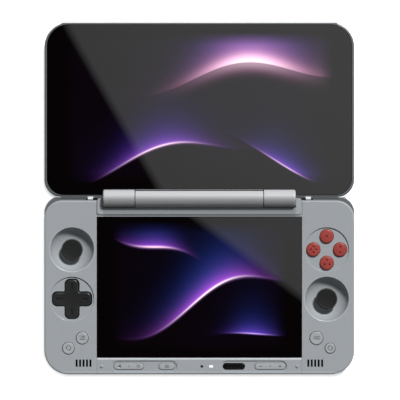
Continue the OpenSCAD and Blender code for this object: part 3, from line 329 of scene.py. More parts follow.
class Wire:
    """A shader socket that takes part in arithmetic."""

    def __init__(self, graph: Graph, socket: bpy.types.NodeSocket) -> None:
        """Keeps the socket and the graph that it belongs to."""
        self.graph = graph
        self.socket = socket

    def math(self, operation: str, other: Wire | float | None = None, clamp: bool = False) -> Wire:
        """Result of one Math node on this socket.

        Args:
            operation: the node's operation.
            other: the second value, if it takes one.
            clamp: whether the result is held between 0 and 1.

        Returns:
            The node's result.
        """
        node = self.graph.tree.nodes.new("ShaderNodeMath")
        node.operation = operation
        node.use_clamp = clamp
        self.graph.feed(node.inputs[0], self)
        if other is not None:
            self.graph.feed(node.inputs[1], other)
        return Wire(self.graph, node.outputs[0])

    def __add__(self, other: Wire | float) -> Wire:
        """Sum."""
        return self.math("ADD", other)

    def __sub__(self, other: Wire | float) -> Wire:
        """Difference."""
        return self.math("SUBTRACT", other)

    def __mul__(self, other: Wire | float) -> Wire:
        """Product."""
        return self.math("MULTIPLY", other)

    def __neg__(self) -> Wire:
        """Negative."""
        return self.math("MULTIPLY", -1.0)

    def held(self) -> Wire:
        """This value, held between 0 and 1."""
        return self.math("MULTIPLY", 1.0, clamp=True)

    def above(self, limit: float, crisp: float) -> Wire:
        """0 under the limit, rising to 1 over 1 / crisp past it."""
        return ((self - limit) * crisp).held()

    def below(self, limit: float, crisp: float) -> Wire:
        """0 above the limit, rising to 1 over 1 / crisp under it."""
        return ((self - limit) * -crisp).held()

    def between(self, low: float, high: float, crisp: float = 30.0) -> Wire:
        """1 between two limits and 0 outside them, with borders 1 / crisp wide."""
        return self.above(low, crisp) * self.below(high, crisp)

    def bell(self, width: float) -> Wire:
        """Bell curve of this value: e to the power of minus its square over the width's square."""
        return (-(self * self) * (1 / (width * width))).math("EXPONENT")


class Graph:
    """A material's nodes round one Principled shader, with places in millimetres."""

    def __init__(self, name: str) -> None:
        """Starts an empty material with its shader and its output."""
        self.material = bpy.data.materials.new(name)
        self.material.use_nodes = True
        self.tree = self.material.node_tree
        self.tree.nodes.clear()
        self.shader = self.tree.nodes.new("ShaderNodeBsdfPrincipled")
        self.output = self.tree.nodes.new("ShaderNodeOutputMaterial")
        self.tree.links.new(self.shader.outputs["BSDF"], self.output.inputs["Surface"])
        place = self.tree.nodes.new("ShaderNodeTexCoord")
        scaled = self.tree.nodes.new("ShaderNodeVectorMath")
        scaled.operation = "SCALE"
        scaled.inputs["Scale"].default_value = 1 / MM
        self.tree.links.new(place.outputs["Object"], scaled.inputs[0])
        self.place = scaled.outputs[0]

    def feed(self, socket: bpy.types.NodeSocket,
             value: Wire | bpy.types.NodeSocket | float | Sequence) -> None:
        """Links a value to a socket, or writes a plain number or colour on it."""
        if isinstance(value, Wire):
            self.tree.links.new(value.socket, socket)
        elif isinstance(value, bpy.types.NodeSocket):
            self.tree.links.new(value, socket)
        else:
            socket.default_value = value

    def node(self, kind: str, **inputs: Wire | float | Sequence) -> bpy.types.Node:
        """A new node with its inputs set; an underscore in an input's name stands for a space."""
        node = self.tree.nodes.new("ShaderNode" + kind)
        for name, value in inputs.items():
            self.feed(node.inputs[name.replace("_", " ")], value)
        return node

    def axes(self, turn: float = 0.0) -> tuple[Wire, Wire, Wire]:
        """Coordinates of the surface's point in millimetres, turned about Z by the angle in degrees."""
        mapped = self.node("Mapping", Vector=self.place, Rotation=(0.0, 0.0, math.radians(turn)))
        parts = self.node("SeparateXYZ", Vector=mapped.outputs[0])
        return tuple(Wire(self, parts.outputs[i]) for i in range(3))

    def noise(self, size: float, detail: float = 2.0, stretch: Sequence[float] = (1.0, 1.0, 1.0)) -> Wire:
        """Cloudy noise between 0 and 1.

        Args:
            size: size of a cloud.
            detail: octaves of finer cloud.
            stretch: how many times longer a cloud is along each axis.

        Returns:
            The noise's value.
        """
        scale = tuple(1 / s for s in stretch)
        mapped = self.node("Mapping", Vector=self.place, Scale=scale)
        node = self.node("TexNoise", Vector=mapped.outputs[0], Scale=1 / size, Detail=detail)
        return Wire(self, node.outputs["Fac"])

    def cells(self, size: float) -> Wire:
        """Distance to the nearest of scattered points."""
        node = self.node("TexVoronoi", Vector=self.place, Scale=1 / size)
        return Wire(self, node.outputs["Distance"])

    def mix(self, share: Wire | float, first: Wire | Sequence, second: Wire | Sequence) -> Wire:
        """Blend of two colours, the second where share is 1."""
        node = self.tree.nodes.new("ShaderNodeMix")
        node.data_type = "RGBA"
        self.feed(node.inputs["Factor"], share)
        for socket, colour in ((node.inputs[6], first), (node.inputs[7], second)):
            self.feed(socket, colour if isinstance(colour, Wire) else (*colour, 1.0))
        return Wire(self, node.outputs[2])

    def relief(self, height: Wire, depth: float) -> None:
        """Bump of the whole surface: depth is the height's range in millimetres."""
        node = self.node("Bump", Height=height, Distance=depth * MM)
        self.feed(self.shader.inputs["Normal"], node.outputs[0])

    def blend(self, share: bpy.types.NodeSocket, first: bpy.types.Node, second: bpy.types.Node) -> None:
        """Puts two shaders on the material's output, the second where share is 1."""
        mix = self.tree.nodes.new("ShaderNodeMixShader")
        for socket, source in zip(mix.inputs, (share, first.outputs[0], second.outputs[0])):
            self.tree.links.new(source, socket)
        self.tree.links.new(mix.outputs[0], self.output.inputs["Surface"])

    def set(self, **inputs: Wire | float | Sequence) -> None:
        """Sets the shader's inputs; an underscore in a name stands for a space."""
        for name, value in inputs.items():
            self.feed(self.shader.inputs[name.replace("_", " ")], value)


def shade(colour: Colour, factor: float) -> Colour:
    """A colour made lighter or darker by the factor."""
    return tuple(min(1.0, c * factor) for c in colour)


# Finishes


@dataclass(frozen=True)
class Finish:
    """A moulded, painted or bare surface with a fine grain and a slow drift of its tone."""

    name: str
    colour: Colour
    roughness: float
    metallic: float = 0.0
    specular: float = 0.5
    grain: float = 0.2
    depth: float = 0.008
    drift: float = 0.05
    mottle: float = 0.08
    ink: float = 0.0
    ink_tone: Colour = (0.0, 0.0, 0.0)

    def pattern(self, graph: Graph) -> tuple[Wire, Wire]:
        """Colour and height of the surface.

        Args:
            graph: the material's graph.

        Returns:
            The colour, and the height between 0 and 1.
        """
        slow = graph.noise(24.0, 3.0)
        colour = graph.mix(slow, shade(self.colour, 1 - self.drift), shade(self.colour, 1 + self.drift))
        return colour, graph.noise(self.grain, 2.0)

    def material(self) -> bpy.types.Material:
        """Builds the finish as a new material; black ink also takes away what the surface would reflect."""
        graph = Graph(self.name)
        colour, height = self.pattern(graph)
        metallic: Wire | float = self.metallic
        if self.ink:
            mark = graph.node("Attribute")
            mark.attribute_name = "ink"
            inked = Wire(graph, mark.outputs["Fac"]) * self.ink
            colour = graph.mix(inked, colour, self.ink_tone)
            if not any(self.ink_tone):
                metallic = inked
        spread = graph.noise(6.0, 2.0) * self.mottle + (self.roughness - self.mottle / 2)
        graph.set(Base_Color=colour, Roughness=spread, Metallic=metallic, Specular_IOR_Level=self.specular)
        graph.relief(height, self.depth)
        self.extra(graph)
        return graph.material

    def extra(self, graph: Graph) -> None:
        """What a finish adds to its shader; nothing on a plain one."""


@dataclass(frozen=True)
class Paint(Finish):
    """Sprayed satin paint: a leathery fine texture with bright flakes, and a parting line.

    The parting line is a groove in the bump whose colour is darkened as painted shade. Black places are
    painted shade in gaps, slots and hollows, and lose their reflection too: the X range on both sides, the
    Y range and the Z range. Strips of another tone on the face are painted shadow or painted highlight:
    half their width, their Y range and the factor on the colour. Spots are black discs seen along Z,
    painted shade in a hole: their middle, their radius and the height above which they lie. Soft dark
    strips along X are painted shade: their middle line's Y, their width and the share of the colour that
    they take. The face starts at the height face_from, and a band's ends and sides fade over 1 / band_end
    and 1 / band_side millimetres.
    """

    seam: float | None = None
    seam_line: float = 0.16
    face_from: float = 11.5
    band_end: float = 0.8
    band_side: float = 8.0
    shade_pits: tuple[tuple[float, float, float, float, float, float], ...] = ()
    painted_light_bands: tuple[tuple[float, float, float, float], ...] = ()
    spots: tuple[tuple[float, float, float, float], ...] = ()
    painted_shades: tuple[tuple[float, float, float], ...] = ()

    def pattern(self, graph: Graph) -> tuple[Wire, Wire]:
        """Flakes lighten the colour a little; the parting line's darkened groove, the strips and the black
        places are painted light and shade.
        """
        slow = graph.noise(40.0, 2.0)
        flake = graph.cells(0.16)
        tone = slow * self.drift + flake * (self.drift * 0.8)
        colour = graph.mix(tone.held(), shade(self.colour, 0.97), shade(self.colour, 1.25))
        height = graph.noise(self.grain, 2.0)
        x, y, z = graph.axes()
        if self.seam is not None:
            # Painted shade: the parting line's groove is darkened in colour as well as cut into the bump.
            line = (z - self.seam).bell(self.seam_line)
            colour = graph.mix(line * 0.7, colour, shade(self.colour, 0.12))
            height = height - line * 6.0
        side = x.math("ABSOLUTE")
        # Painted shadow or painted highlight: strips of the face made darker or lighter.
        for half, low, high, tone in self.painted_light_bands:
            strip = side.between(-1.0, half, self.band_end) * y.between(low, high, self.band_side)
            colour = graph.mix(strip * z.above(self.face_from, 4.0), colour, shade(self.colour, tone))
        # Painted shade: soft dark strips along X.
        for line, width, strength in self.painted_shades:
            colour = graph.mix((y - line).bell(width) * strength, colour, (0.0, 0.0, 0.0))
        # Painted shade: gaps, slots and holes painted black.
        if self.shade_pits:
            colour = graph.mix(self.painted_shade_mask(graph), colour, (0.002, 0.002, 0.002))
        return colour, height

    def painted_shade_mask(self, graph: Graph) -> Wire:
        """1 where gaps, slots and holes are painted black as painted shade."""
        x, y, z = graph.axes()
        side = x.math("ABSOLUTE")
        shares = [side.between(*pit[0:2]) * y.between(*pit[2:4]) * z.between(*pit[4:6]) for pit in self.shade_pits]
        for middle_x, middle_y, radius, height in self.spots:
            over_x, over_y = x - middle_x, y - middle_y
            away = (over_x * over_x + over_y * over_y).math("SQRT") - radius
            shares.append(away.below(0.0, 20.0) * z.above(height, 20.0))
        total = shares[0]
        for share in shares[1:]:
            total = total + share
        return total.held()

    def extra(self, graph: Graph) -> None:
        """Takes the reflection off the places painted black as painted shade, as a black metal has none of
        its own.
        """
        if self.shade_pits:
            graph.set(Metallic=self.painted_shade_mask(graph))


@dataclass(frozen=True)
class Rubber(Finish):
    """Soft-touch rubber: fine pebbles and a dusty sheen."""

    def pattern(self, graph: Graph) -> tuple[Wire, Wire]:
        """Pebbles are the distance from scattered points."""
        slow = graph.noise(5.0, 4.0)
        colour = graph.mix(slow, shade(self.colour, 1 - self.drift), shade(self.colour, 1 + self.drift))
        return colour, graph.cells(self.grain) + graph.noise(self.grain * 3, 2.0) * 0.5

    def extra(self, graph: Graph) -> None:
        """A little sheen, as dust and skin leave on rubber."""
        graph.set(Sheen_Weight=0.08, Sheen_Roughness=0.5)


@dataclass(frozen=True)
class Brushed(Finish):
    """Sheet metal brushed along X, with fine scratches."""

    def pattern(self, graph: Graph) -> tuple[Wire, Wire]:
        """Scratches are noise drawn out sixty times along X."""
        lines = graph.noise(0.12, 3.0, (60.0, 1.0, 1.0))
        stain = graph.noise(8.0, 4.0)
        tone = (lines * 0.6 + stain * 0.4).held()
        return graph.mix(tone, shade(self.colour, 0.78), shade(self.colour, 1.12)), lines


@dataclass(frozen=True)
class Lacquer(Finish):
    """Circuit board: solder mask over copper tracks, with tinned pads."""

    copper: Colour = (0.09, 0.20, 0.06)
    tin: Colour = (0.55, 0.56, 0.55)

    def pattern(self, graph: Graph) -> tuple[Wire, Wire]:
        """Tracks are bands of a sine of X and Y bent by noise; pads are the middles of cells."""
        x, y, _ = graph.axes()
        bend = graph.noise(9.0, 1.0) * 26.0
        track = ((x + bend) * 5.2).math("SINE") * ((y + bend) * 3.1).math("SINE")
        on = (track * 5.0).held()
        pad = ((graph.cells(1.7) - 0.16) * -24.0).held()
        colour = graph.mix(on, self.colour, self.copper)
        return graph.mix(pad, colour, self.tin), on * 0.5 + pad


@dataclass(frozen=True)
class Foil(Finish):
    """Wrinkled pouch of laminated foil."""

    def pattern(self, graph: Graph) -> tuple[Wire, Wire]:
        """Wrinkles are noise drawn out along Y, and crossed by wider ones."""
        wrinkle = graph.noise(1.1, 5.0, (1.0, 5.0, 1.0)) + graph.noise(7.0, 2.0)
        colour = graph.mix(graph.noise(12.0, 4.0), shade(self.colour, 0.7), shade(self.colour, 1.4))
        return colour, wrinkle


@dataclass(frozen=True)
class Tracks(Finish):
    """Polyimide film over copper lines that run along the cable."""

    line: Colour = (0.075, 0.045, 0.020)
    pitch: float = 0.5

    def pattern(self, graph: Graph) -> tuple[Wire, Wire]:
        """Lines are a sine of X."""
        x = graph.axes()[0]
        stripe = ((x * (2 * math.pi / self.pitch)).math("SINE") * 3.0).held()
        return graph.mix(stripe, self.colour, self.line), stripe + graph.noise(0.8, 2.0) * 0.3


@dataclass(frozen=True)
class Mesh(Finish):
    """Black moulding under a fine woven dust mesh, as over a speaker."""

    pitch: float = 0.45

    def pattern(self, graph: Graph) -> tuple[Wire, Wire]:
        """Weave is the product of a sine of X and a sine of Y."""
        x, y, _ = graph.axes()
        rate = 2 * math.pi / self.pitch
        weave = (x * rate).math("SINE") * (y * rate).math("SINE")
        return graph.mix(weave.held(), shade(self.colour, 0.4), shade(self.colour, 1.8)), weave


@dataclass(frozen=True)
class Lamp(Finish):
    """Frosted light guide that glows."""

    glow: float = 1.0

    def extra(self, graph: Graph) -> None:
        """Glows in its own colour, a little uneven."""
        graph.set(Emission_Color=(*self.colour, 1.0), Emission_Strength=self.glow)


@dataclass(frozen=True)
class Ribbon:
    """One glowing wave of a picture: a bright edge along a sine line, which fades away above it.

    The line is base + slope x + swing sin(x / length + phase), all in millimetres from the
    picture's middle. The glow is strongest at x = at and falls off over the spread; it turns
    from tip on the line through colour to far as it fades upwards.
    """

    base: float
    slope: float
    swing: float
    length: float
    phase: float
    fade: float
    at: float
    spread: float
    far: Colour
    colour: Colour
    tip: Colour
    edge: float = 0.8
    strength: float = 1.0


@dataclass(frozen=True)
class LitGlass(Finish):
    """Black cover glass with the lit picture behind it."""

    middle: tuple[float, float] = (0.0, 0.0)
    half: tuple[float, float] = (50.0, 40.0)
    ribbons: tuple[Ribbon, ...] = ()
    index: float = 1.5
    haze: Colour = (0.0030, 0.0016, 0.0085)
    black: Colour = (0.0006, 0.0003, 0.0008)
    border: float = 7.0

    def ribbon(self, graph: Graph, x: Wire, y: Wire, form: Ribbon, under: Wire) -> Wire:
        """Adds one ribbon's light to what is under it.

        Args:
            graph: the material's graph.
            x: distance to the right of the picture's middle.
            y: distance above the picture's middle.
            form: the ribbon.
            under: the colour so far.

        Returns:
            The sum of both colours.
        """
        line = (x * (1 / form.length) + form.phase).math("SINE") * form.swing + x * form.slope + form.base
        above = y - line
        tail = (above.math("MAXIMUM", 0.0) * (-1 / form.fade)).math("EXPONENT")
        crisp = (above * 1.6 + 0.5).held()
        envelope = (x - form.at).bell(form.spread)
        rim = above.bell(form.edge)
        light = (tail * crisp + rim * 0.4) * envelope * form.strength
        glow = graph.mix((tail * tail * 1.3).held(), form.far, form.colour)
        tint = graph.mix((rim * envelope).held(), glow, form.tip)
        return self.add(graph, under, tint, light)

    @staticmethod
    def add(graph: Graph, under: Wire, tint: Wire, light: Wire) -> Wire:
        """Sum of a colour and a tint times its light."""
        lit = graph.tree.nodes.new("ShaderNodeVectorMath")
        lit.operation = "SCALE"
        graph.feed(lit.inputs[0], tint)
        graph.feed(lit.inputs["Scale"], light)
        both = graph.tree.nodes.new("ShaderNodeVectorMath")
        both.operation = "ADD"
        graph.feed(both.inputs[0], under)
        graph.tree.links.new(lit.outputs[0], both.inputs[1])
        return Wire(graph, both.outputs[0])

    def extra(self, graph: Graph) -> None:
        """Lights the picture inside its borders, towards which it fades."""
        x, y, _ = graph.axes()
        x, y = x - self.middle[0], y - self.middle[1]
        cloud = graph.noise(45.0, 2.0).math("POWER", 3.0)
        colour = graph.mix(cloud, self.black, self.haze)
        for form in self.ribbons:
            colour = self.ribbon(graph, x, y, form, colour)
        sides = ((x.math("ABSOLUTE") - self.half[0]) * (-1 / self.border)).held()
        ends = ((y.math("ABSOLUTE") - self.half[1]) * (-1 / self.border)).held()
        graph.set(Emission_Color=colour, Emission_Strength=sides * ends, IOR=self.index)


class Skin(Enum):
    """Every finish of the console."""

    # Painted light on the shell: a painted shadow of the hinge barrel on the shelf in front of it, painted
    # highlights along the front bar's edge next to the lower glass and along the front edge, and black
    # painted shade in the trough under the barrel, in the speaker slots and in the microphone hole.
    SHELL = Paint("shell_paint", (0.333, 0.354, 0.374), 0.44, specular=0.30, grain=0.22, depth=0.011,
                  drift=0.09, seam=7.4,
                  shade_pits=((0.0, 59.2, -5.6, 5.6, 10.0, 14.95), (60.0, 75.0, -99.0, -92.0, 11.5, 14.5)),
                  spots=((1.4, -97.4, 0.78, 7.0),),
                  painted_light_bands=((56.4, -10.9, -4.0, 0.71), (59.7, -93.6, -92.2, 1.42), (84.0, -101.3, -100.3, 1.22)))
    LID = Paint("lid_paint", (0.315, 0.335, 0.355), 0.44, grain=0.22, depth=0.011, drift=0.16)
    # Painted shade on the barrel and knuckles: a soft dark strip along their front half, black joints between
    # the barrel and the knuckles and a black line along the barrel's far side; the knuckles also get a dark
    # line along their front edge.
    BARREL = Paint("barrel_paint", (0.49, 0.50, 0.515), 0.30, grain=0.16, depth=0.004, drift=0.12,
                   shade_pits=((0.0, 36.9, 4.22, 4.75, 15.3, 30.0), (36.9, 38.0, -9.0, 9.0, 0.0, 30.0)),
                   painted_shades=((-1.9, 2.4, 0.42),))
    KNUCKLE = Paint("knuckle_paint", (0.49, 0.50, 0.515), 0.30, grain=0.16, depth=0.004, drift=0.12,
                    shade_pits=((36.0, 37.4, -9.0, 9.0, 0.0, 30.0),), painted_shades=((-1.9, 2.4, 0.42), (-5.0, 0.24, 0.9)))
    RIM = Paint("rim_paint", (0.345, 0.365, 0.385), 0.22, grain=0.16, depth=0.004, drift=0.10)
    # Painted highlight: a lighter copy of the shell paint on the bowls' round lips, so their lit side shines
    # brighter.
    BOWL_RIM_HIGHLIGHT = Paint("bowl_rim_highlight_paint", (0.41, 0.43, 0.45), 0.28, grain=0.16, depth=0.004, drift=0.10)
    KEY = Paint("key_paint", (0.355, 0.37, 0.385), 0.34, grain=0.14, depth=0.004, drift=0.14, ink=0.62)
    SLATE = Paint("slate_paint", (0.097, 0.108, 0.116), 0.34, grain=0.18, depth=0.005, drift=0.20)
    # Painted highlight: the cap's rim rows take this lighter grey.
    CAP = Rubber("thumb_rubber", (0.0066, 0.0072, 0.0069), 0.55, specular=0.15, grain=0.30, depth=0.02,
                 ink=1.0, ink_tone=(0.058, 0.061, 0.059))
    PAD = Finish("pad_plastic", (0.0056, 0.0061, 0.0059), 0.30, specular=0.36, grain=0.12, depth=0.004,
                 ink=1.0)
    SENSOR = Finish("sensor_black", (0.0030, 0.0030, 0.0032), 0.16, specular=0.15, grain=2.0, depth=0.002)
    RED = Finish("button_red", (0.315, 0.042, 0.034), 0.33, specular=0.36, grain=0.16, depth=0.005,
                 drift=0.07, ink=0.68)
    MOULDED = Finish("moulded_black", (0.018, 0.018, 0.019), 0.55, specular=0.3, grain=0.25, depth=0.012)
    SPEAKER = Mesh("speaker_mesh", (0.0035, 0.0035, 0.0038), 0.8, specular=0.1, depth=0.06)
    DOME = Rubber("dome_rubber", (0.20, 0.21, 0.22), 0.6, specular=0.3, grain=0.3, depth=0.01)
    BLACK_RUBBER = Rubber("foot_rubber", (0.020, 0.020, 0.021), 0.75, specular=0.25, grain=0.35, depth=0.03)
    BUMPER = Rubber("bumper_rubber", (0.34, 0.355, 0.37), 0.6, specular=0.3, grain=0.2, depth=0.006)
    STEEL = Brushed("brushed_steel", (0.50, 0.51, 0.53), 0.34, metallic=1.0, depth=0.006)
    BLACKENED = Brushed("blackened_steel", (0.022, 0.023, 0.024), 0.55, metallic=1.0, depth=0.006)
    COPPER = Brushed("copper_sheet", (0.66, 0.31, 0.18), 0.30, metallic=1.0, depth=0.006)
    BOARD = Lacquer("board_lacquer", (0.010, 0.055, 0.032), 0.30, depth=0.03)
    FOIL = Foil("battery_foil", (0.035, 0.036, 0.04), 0.36, metallic=0.5, depth=0.12)
    FILM = Tracks("cable_film", (0.030, 0.026, 0.020), 0.28, depth=0.02)
    LIGHT = Lamp("light_guide", (0.80, 0.82, 0.85), 0.3, grain=0.4, depth=0.004, glow=0.45)


@dataclass
class Wardrobe:
    """Makes each finish's material once."""

    made: dict[str, bpy.types.Material] = field(default_factory=dict)

    def material(self, finish: Finish) -> bpy.types.Material:
        """The finish's material."""
        if finish.name not in self.made:
            self.made[finish.name] = finish.material()
        return self.made[finish.name]

    def dress(self, piece: bpy.types.Object, finish: Finish) -> None:
        """Puts the finish on every slot of a piece."""
        if not piece.material_slots:
            piece.data.materials.append(None)
        for entry in piece.material_slots:
            entry.material = self.material(finish)

    def dress_node(self, node: str, finish: Finish) -> None:
        """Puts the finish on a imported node."""
        self.dress(frame["nodes"][node], finish)


def stand_for(piece: bpy.types.Object, node: str) -> None:
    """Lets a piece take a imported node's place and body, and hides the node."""
    record = frame["record"]
    body = next(name for name, nodes in record["behaviour"]["bodies"].items() if node in nodes)
    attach(piece, body)
    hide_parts(node)
    log.info("%s stands for %s on %s", piece.name, node, body)


# Screens


@dataclass
class LowerScreen:
    """The lower cover glass with its picture."""

    corner: float = 0.9
    chamfer: float = 0.16
    picture: tuple[float, float] = (101.6, 76.2)
    index: float = 1.64
    ribbons: tuple[Ribbon, ...] = (
        Ribbon(-10, 0.36, 8, 15, 0.4, 11, 6, 23, (0.012, 0.055, 0.36), (0.36, 0.08, 0.66), (1.0, 0.80, 0.88),
               edge=0.9, strength=1.4),
        Ribbon(12, -0.42, 5, 12, 2.2, 7, -26, 13, (0.010, 0.035, 0.26), (0.26, 0.06, 0.58), (1.0, 0.64, 0.84),
               strength=1.3),
        Ribbon(-31, 0.10, 3, 17, 1.0, 8, 31, 11, (0.006, 0.025, 0.18), (0.10, 0.05, 0.48), (0.60, 0.36, 0.95),
               edge=0.5, strength=1.1),
    )

    def outline(self, low: np.ndarray, high: np.ndarray) -> Outline:
        """The glass's outline: a rectangle with small round corners."""
        return Outline.box(low, high, self.corner)

    def build(self, node: str, wardrobe: Wardrobe, panel: str, name: str) -> None:
        """Builds the glass over its node and lights it.

        Args:
            node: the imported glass.
            wardrobe: where finishes are kept.
            panel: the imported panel, whose middle is the picture's.
            name: the new piece's name.
        """
        low, high = extent(node)
        outline = self.outline(low, high)
        rows = np.stack([outline.row(0.0, low[2]), outline.row(0.0, high[2] - self.chamfer),
                         outline.row(self.chamfer, high[2])])
        piece = loft(name, rows, crease=20.0)
        panel_low, panel_high = extent(panel)
        middle = tuple((panel_low + panel_high)[:2] / 2)
        half = (self.picture[0] / 2, self.picture[1] / 2)
        finish = LitGlass(name + "_picture", (0.0022, 0.0012, 0.0016), 0.012, grain=30.0, depth=0.0,
                          drift=0.02, mottle=0.004, middle=middle, half=half, ribbons=self.ribbons,
                          index=self.index)
        wardrobe.dress(piece, finish)
        wardrobe.dress_node(panel, finish)
        stand_for(piece, node)


@dataclass
class UpperScreen(LowerScreen):
    """The upper cover glass, which stops short of the hinge barrels."""

    chamfer: float = 0.2
    near_corner: float = 9.6
    far_corner: float = 12.4
    recess_corner: float = 0.5
    picture: tuple[float, float] = (155.0, 87.2)
    index: float = 1.66
    ribbons: tuple[Ribbon, ...] = (
        Ribbon(17, 0.10, 7, 18, 0.2, 17, 30, 27, (0.14, 0.07, 0.55), (0.80, 0.30, 0.62), (1.0, 0.66, 0.82),
               edge=4.6, strength=1.25),
        Ribbon(-24, 0.22, 7, 18, 2.6, 8, -24, 24, (0.07, 0.03, 0.34), (0.24, 0.07, 0.55), (0.98, 0.66, 0.84),
               strength=1.15),
        Ribbon(-14, -0.35, 6, 21, 1.2, 8, 50, 15, (0.03, 0.03, 0.24), (0.16, 0.06, 0.52), (0.85, 0.50, 0.80),
               edge=0.6),
    )

    def outline(self, low: np.ndarray, high: np.ndarray) -> Outline:
        """The glass's outline: round corners, and a wide shallow recess for the barrels."""
        side = extent("hinge_knuckle_right")[1][0] + 0.3
        recess = extent("hinge_knuckle_right")[1][1] + 0.2
        corners = [(low[0], low[1]), (-side, low[1]), (-side, recess), (side, recess), (side, low[1]),
                   (high[0], low[1]), (high[0], high[1]), (low[0], high[1])]
        radii = [self.near_corner, *[self.recess_corner] * 4, self.near_corner, *[self.far_corner] * 2]
        return Outline.rounded(corners, radii)


# Controls


@dataclass
class ThumbCap:
    """A thumbstick's cap: a knurled rim round a hollow for the thumb."""

    neck: float = 3.0
    neck_drop: float = 2.1
    brim: float = 1.0
    brim_drop: float = 2.08
    brim_side: tuple[tuple[float, float], ...] = ((0.42, 1.02), (0.02, 0.98), (0.0, 0.8), (0.04, 0.62))
    hollow: float = 0.4
    slope: float = 0.5
    rim_round: float = 0.3
    teeth: int = 60
    tooth: float = 0.10
    groove_at: tuple[float, ...] = (0.80, 0.87)
    groove: float = 0.07

    def profile(self, radius: float, low: float, top: float) -> tuple[np.ndarray, np.ndarray, np.ndarray]:
        """Radius and height of each row, the depth of its teeth, and the rim's rows painted lighter as a
        painted highlight.

        The hollow lies hollow (1 - (r / rim)^2)^0.8 under the rim; rings of small grooves lie where
        groove_at says, as shares of the rim's radius. The side's rows are given by how far they lie
        inside the widest radius and under the rim.

        Args:
            radius: the cap's radius.
            low: height of its neck's foot.
            top: height of its rim.

        Returns:
            The profile, the teeth and the lighter rows.
        """
        rim = radius - self.slope - self.rim_round
        angle = np.linspace(math.pi / 5, math.pi / 2, 7)
        neck = [(self.neck, low), (self.neck, top - self.neck_drop),
                (self.neck + self.brim, top - self.brim_drop)]
        side = neck + [(radius - inside, top - under) for inside, under in self.brim_side]
        edge = np.column_stack([rim + self.rim_round * np.cos(angle) / math.cos(math.pi / 5),
                                top - self.rim_round * (1 - np.sin(angle))])
        inward = np.linspace(rim, 0.15, 44)[1:]
        share = inward / rim
        grooves = sum(np.exp(-(((share - at) / 0.014) ** 2)) for at in self.groove_at)
        dish = top - self.hollow * (1 - share**2) ** 0.8 - self.groove * grooves
        profile = np.concatenate([np.array(side), edge, np.column_stack([inward, dish])])
        knurl = np.zeros(len(profile))
        knurl[len(side) - 3: len(side) + 3] = self.tooth
        # Painted highlight: the rim's rows are painted a lighter grey.
        painted_rim_sheen = np.zeros(len(profile))
        painted_rim_sheen[len(side) - 3: len(side) + 2] = 1.0
        return profile, knurl, painted_rim_sheen

    def build(self, node: str, wardrobe: Wardrobe) -> None:
        """Builds the cap over its node."""
        low, high = extent(node)
        centre = (low + high)[:2] / 2
        profile, knurl, painted_rim_sheen = self.profile((high[0] - low[0]) / 2, low[2], high[2])
        rows = turned(profile, centre, 240, knurl, self.teeth)
        ink = np.repeat(painted_rim_sheen[:, None], rows.shape[1], axis=1)
        piece = loft("thumb_" + node, rows, crease=50.0, ink=ink)
        wardrobe.dress(piece, Skin.CAP.value)
        stand_for(piece, node)


@dataclass
class DirectionPad:
    """The direction pad: a cross with dished arms, a dimple in its middle and fine grip lines."""

    span: float = 22.6
    arm: float = 7.9
    corner: float = 3.1
    inner: float = 0.7
    edge: float = 1.05
    lip: float = 1.2
    lip_height: float = 0.8
    dish: float = 0.5
    line_from: float = 5.6
    line_to: float = 9.4
    line_depth: float = 0.14
    line_width: float = 0.32
    rings: int = 80

    def outline(self, centre: np.ndarray) -> Outline:
        """The cross's outline, anticlockwise from the right arm's lower corner."""
        a, s = self.arm / 2, self.span / 2
        quarter = [(s, -a), (s, a), (a, a)]
        corners = []
        for turn in range(4):
            cos, sin = round(math.cos(turn * math.pi / 2)), round(math.sin(turn * math.pi / 2))
            corners += [(centre[0] + x * cos - y * sin, centre[1] + x * sin + y * cos) for x, y in quarter]
        return Outline.rounded(corners, [self.corner, self.corner, self.inner] * 4, run=0.45)

    def build(self, node: str, wardrobe: Wardrobe) -> None:
        """Builds the pad over its node, with the flange that holds it under the face."""
        low, high = extent(node)
        centre = (low + high)[:2] / 2
        peak = high[2]

        def line(x: np.ndarray, y: np.ndarray) -> np.ndarray:
            """1 in the grip line along the middle of each arm."""
            side, rise = np.abs(x - centre[0]), np.abs(y - centre[1])
            along, off = np.maximum(side, rise), np.minimum(side, rise)
            on_arm = engraved(np.maximum(self.line_from - along, along - self.line_to), 0.5)
            return on_arm * np.exp(-((off / self.line_width) ** 2))

        def top(x: np.ndarray, y: np.ndarray) -> np.ndarray:
            """Arms rise with the square of the distance from the middle; the grip lines are cut into them."""
            far = np.hypot(x - centre[0], y - centre[1]) / (self.span / 2)
            return peak - self.dish * (1 - np.clip(far, 0, 1) ** 2) - self.line_depth * line(x, y)

        outline = self.outline(centre)
        sill = low[2] + self.lip_height
        foot = ((-self.lip, low[2]), (-self.lip, sill), (0.0, sill))
        flange = np.stack([outline.row(inset, z) for inset, z in foot])
        rim = edge_rows(outline, self.edge, top)
        rows = np.concatenate([flange, rim, crown_rows(rim[-1], top, self.rings)])
        piece = loft("moulded_pad", rows, crease=50.0, ink=line(rows[..., 0], rows[..., 1]))
        wardrobe.dress(piece, Skin.PAD.value)
        stand_for(piece, node)


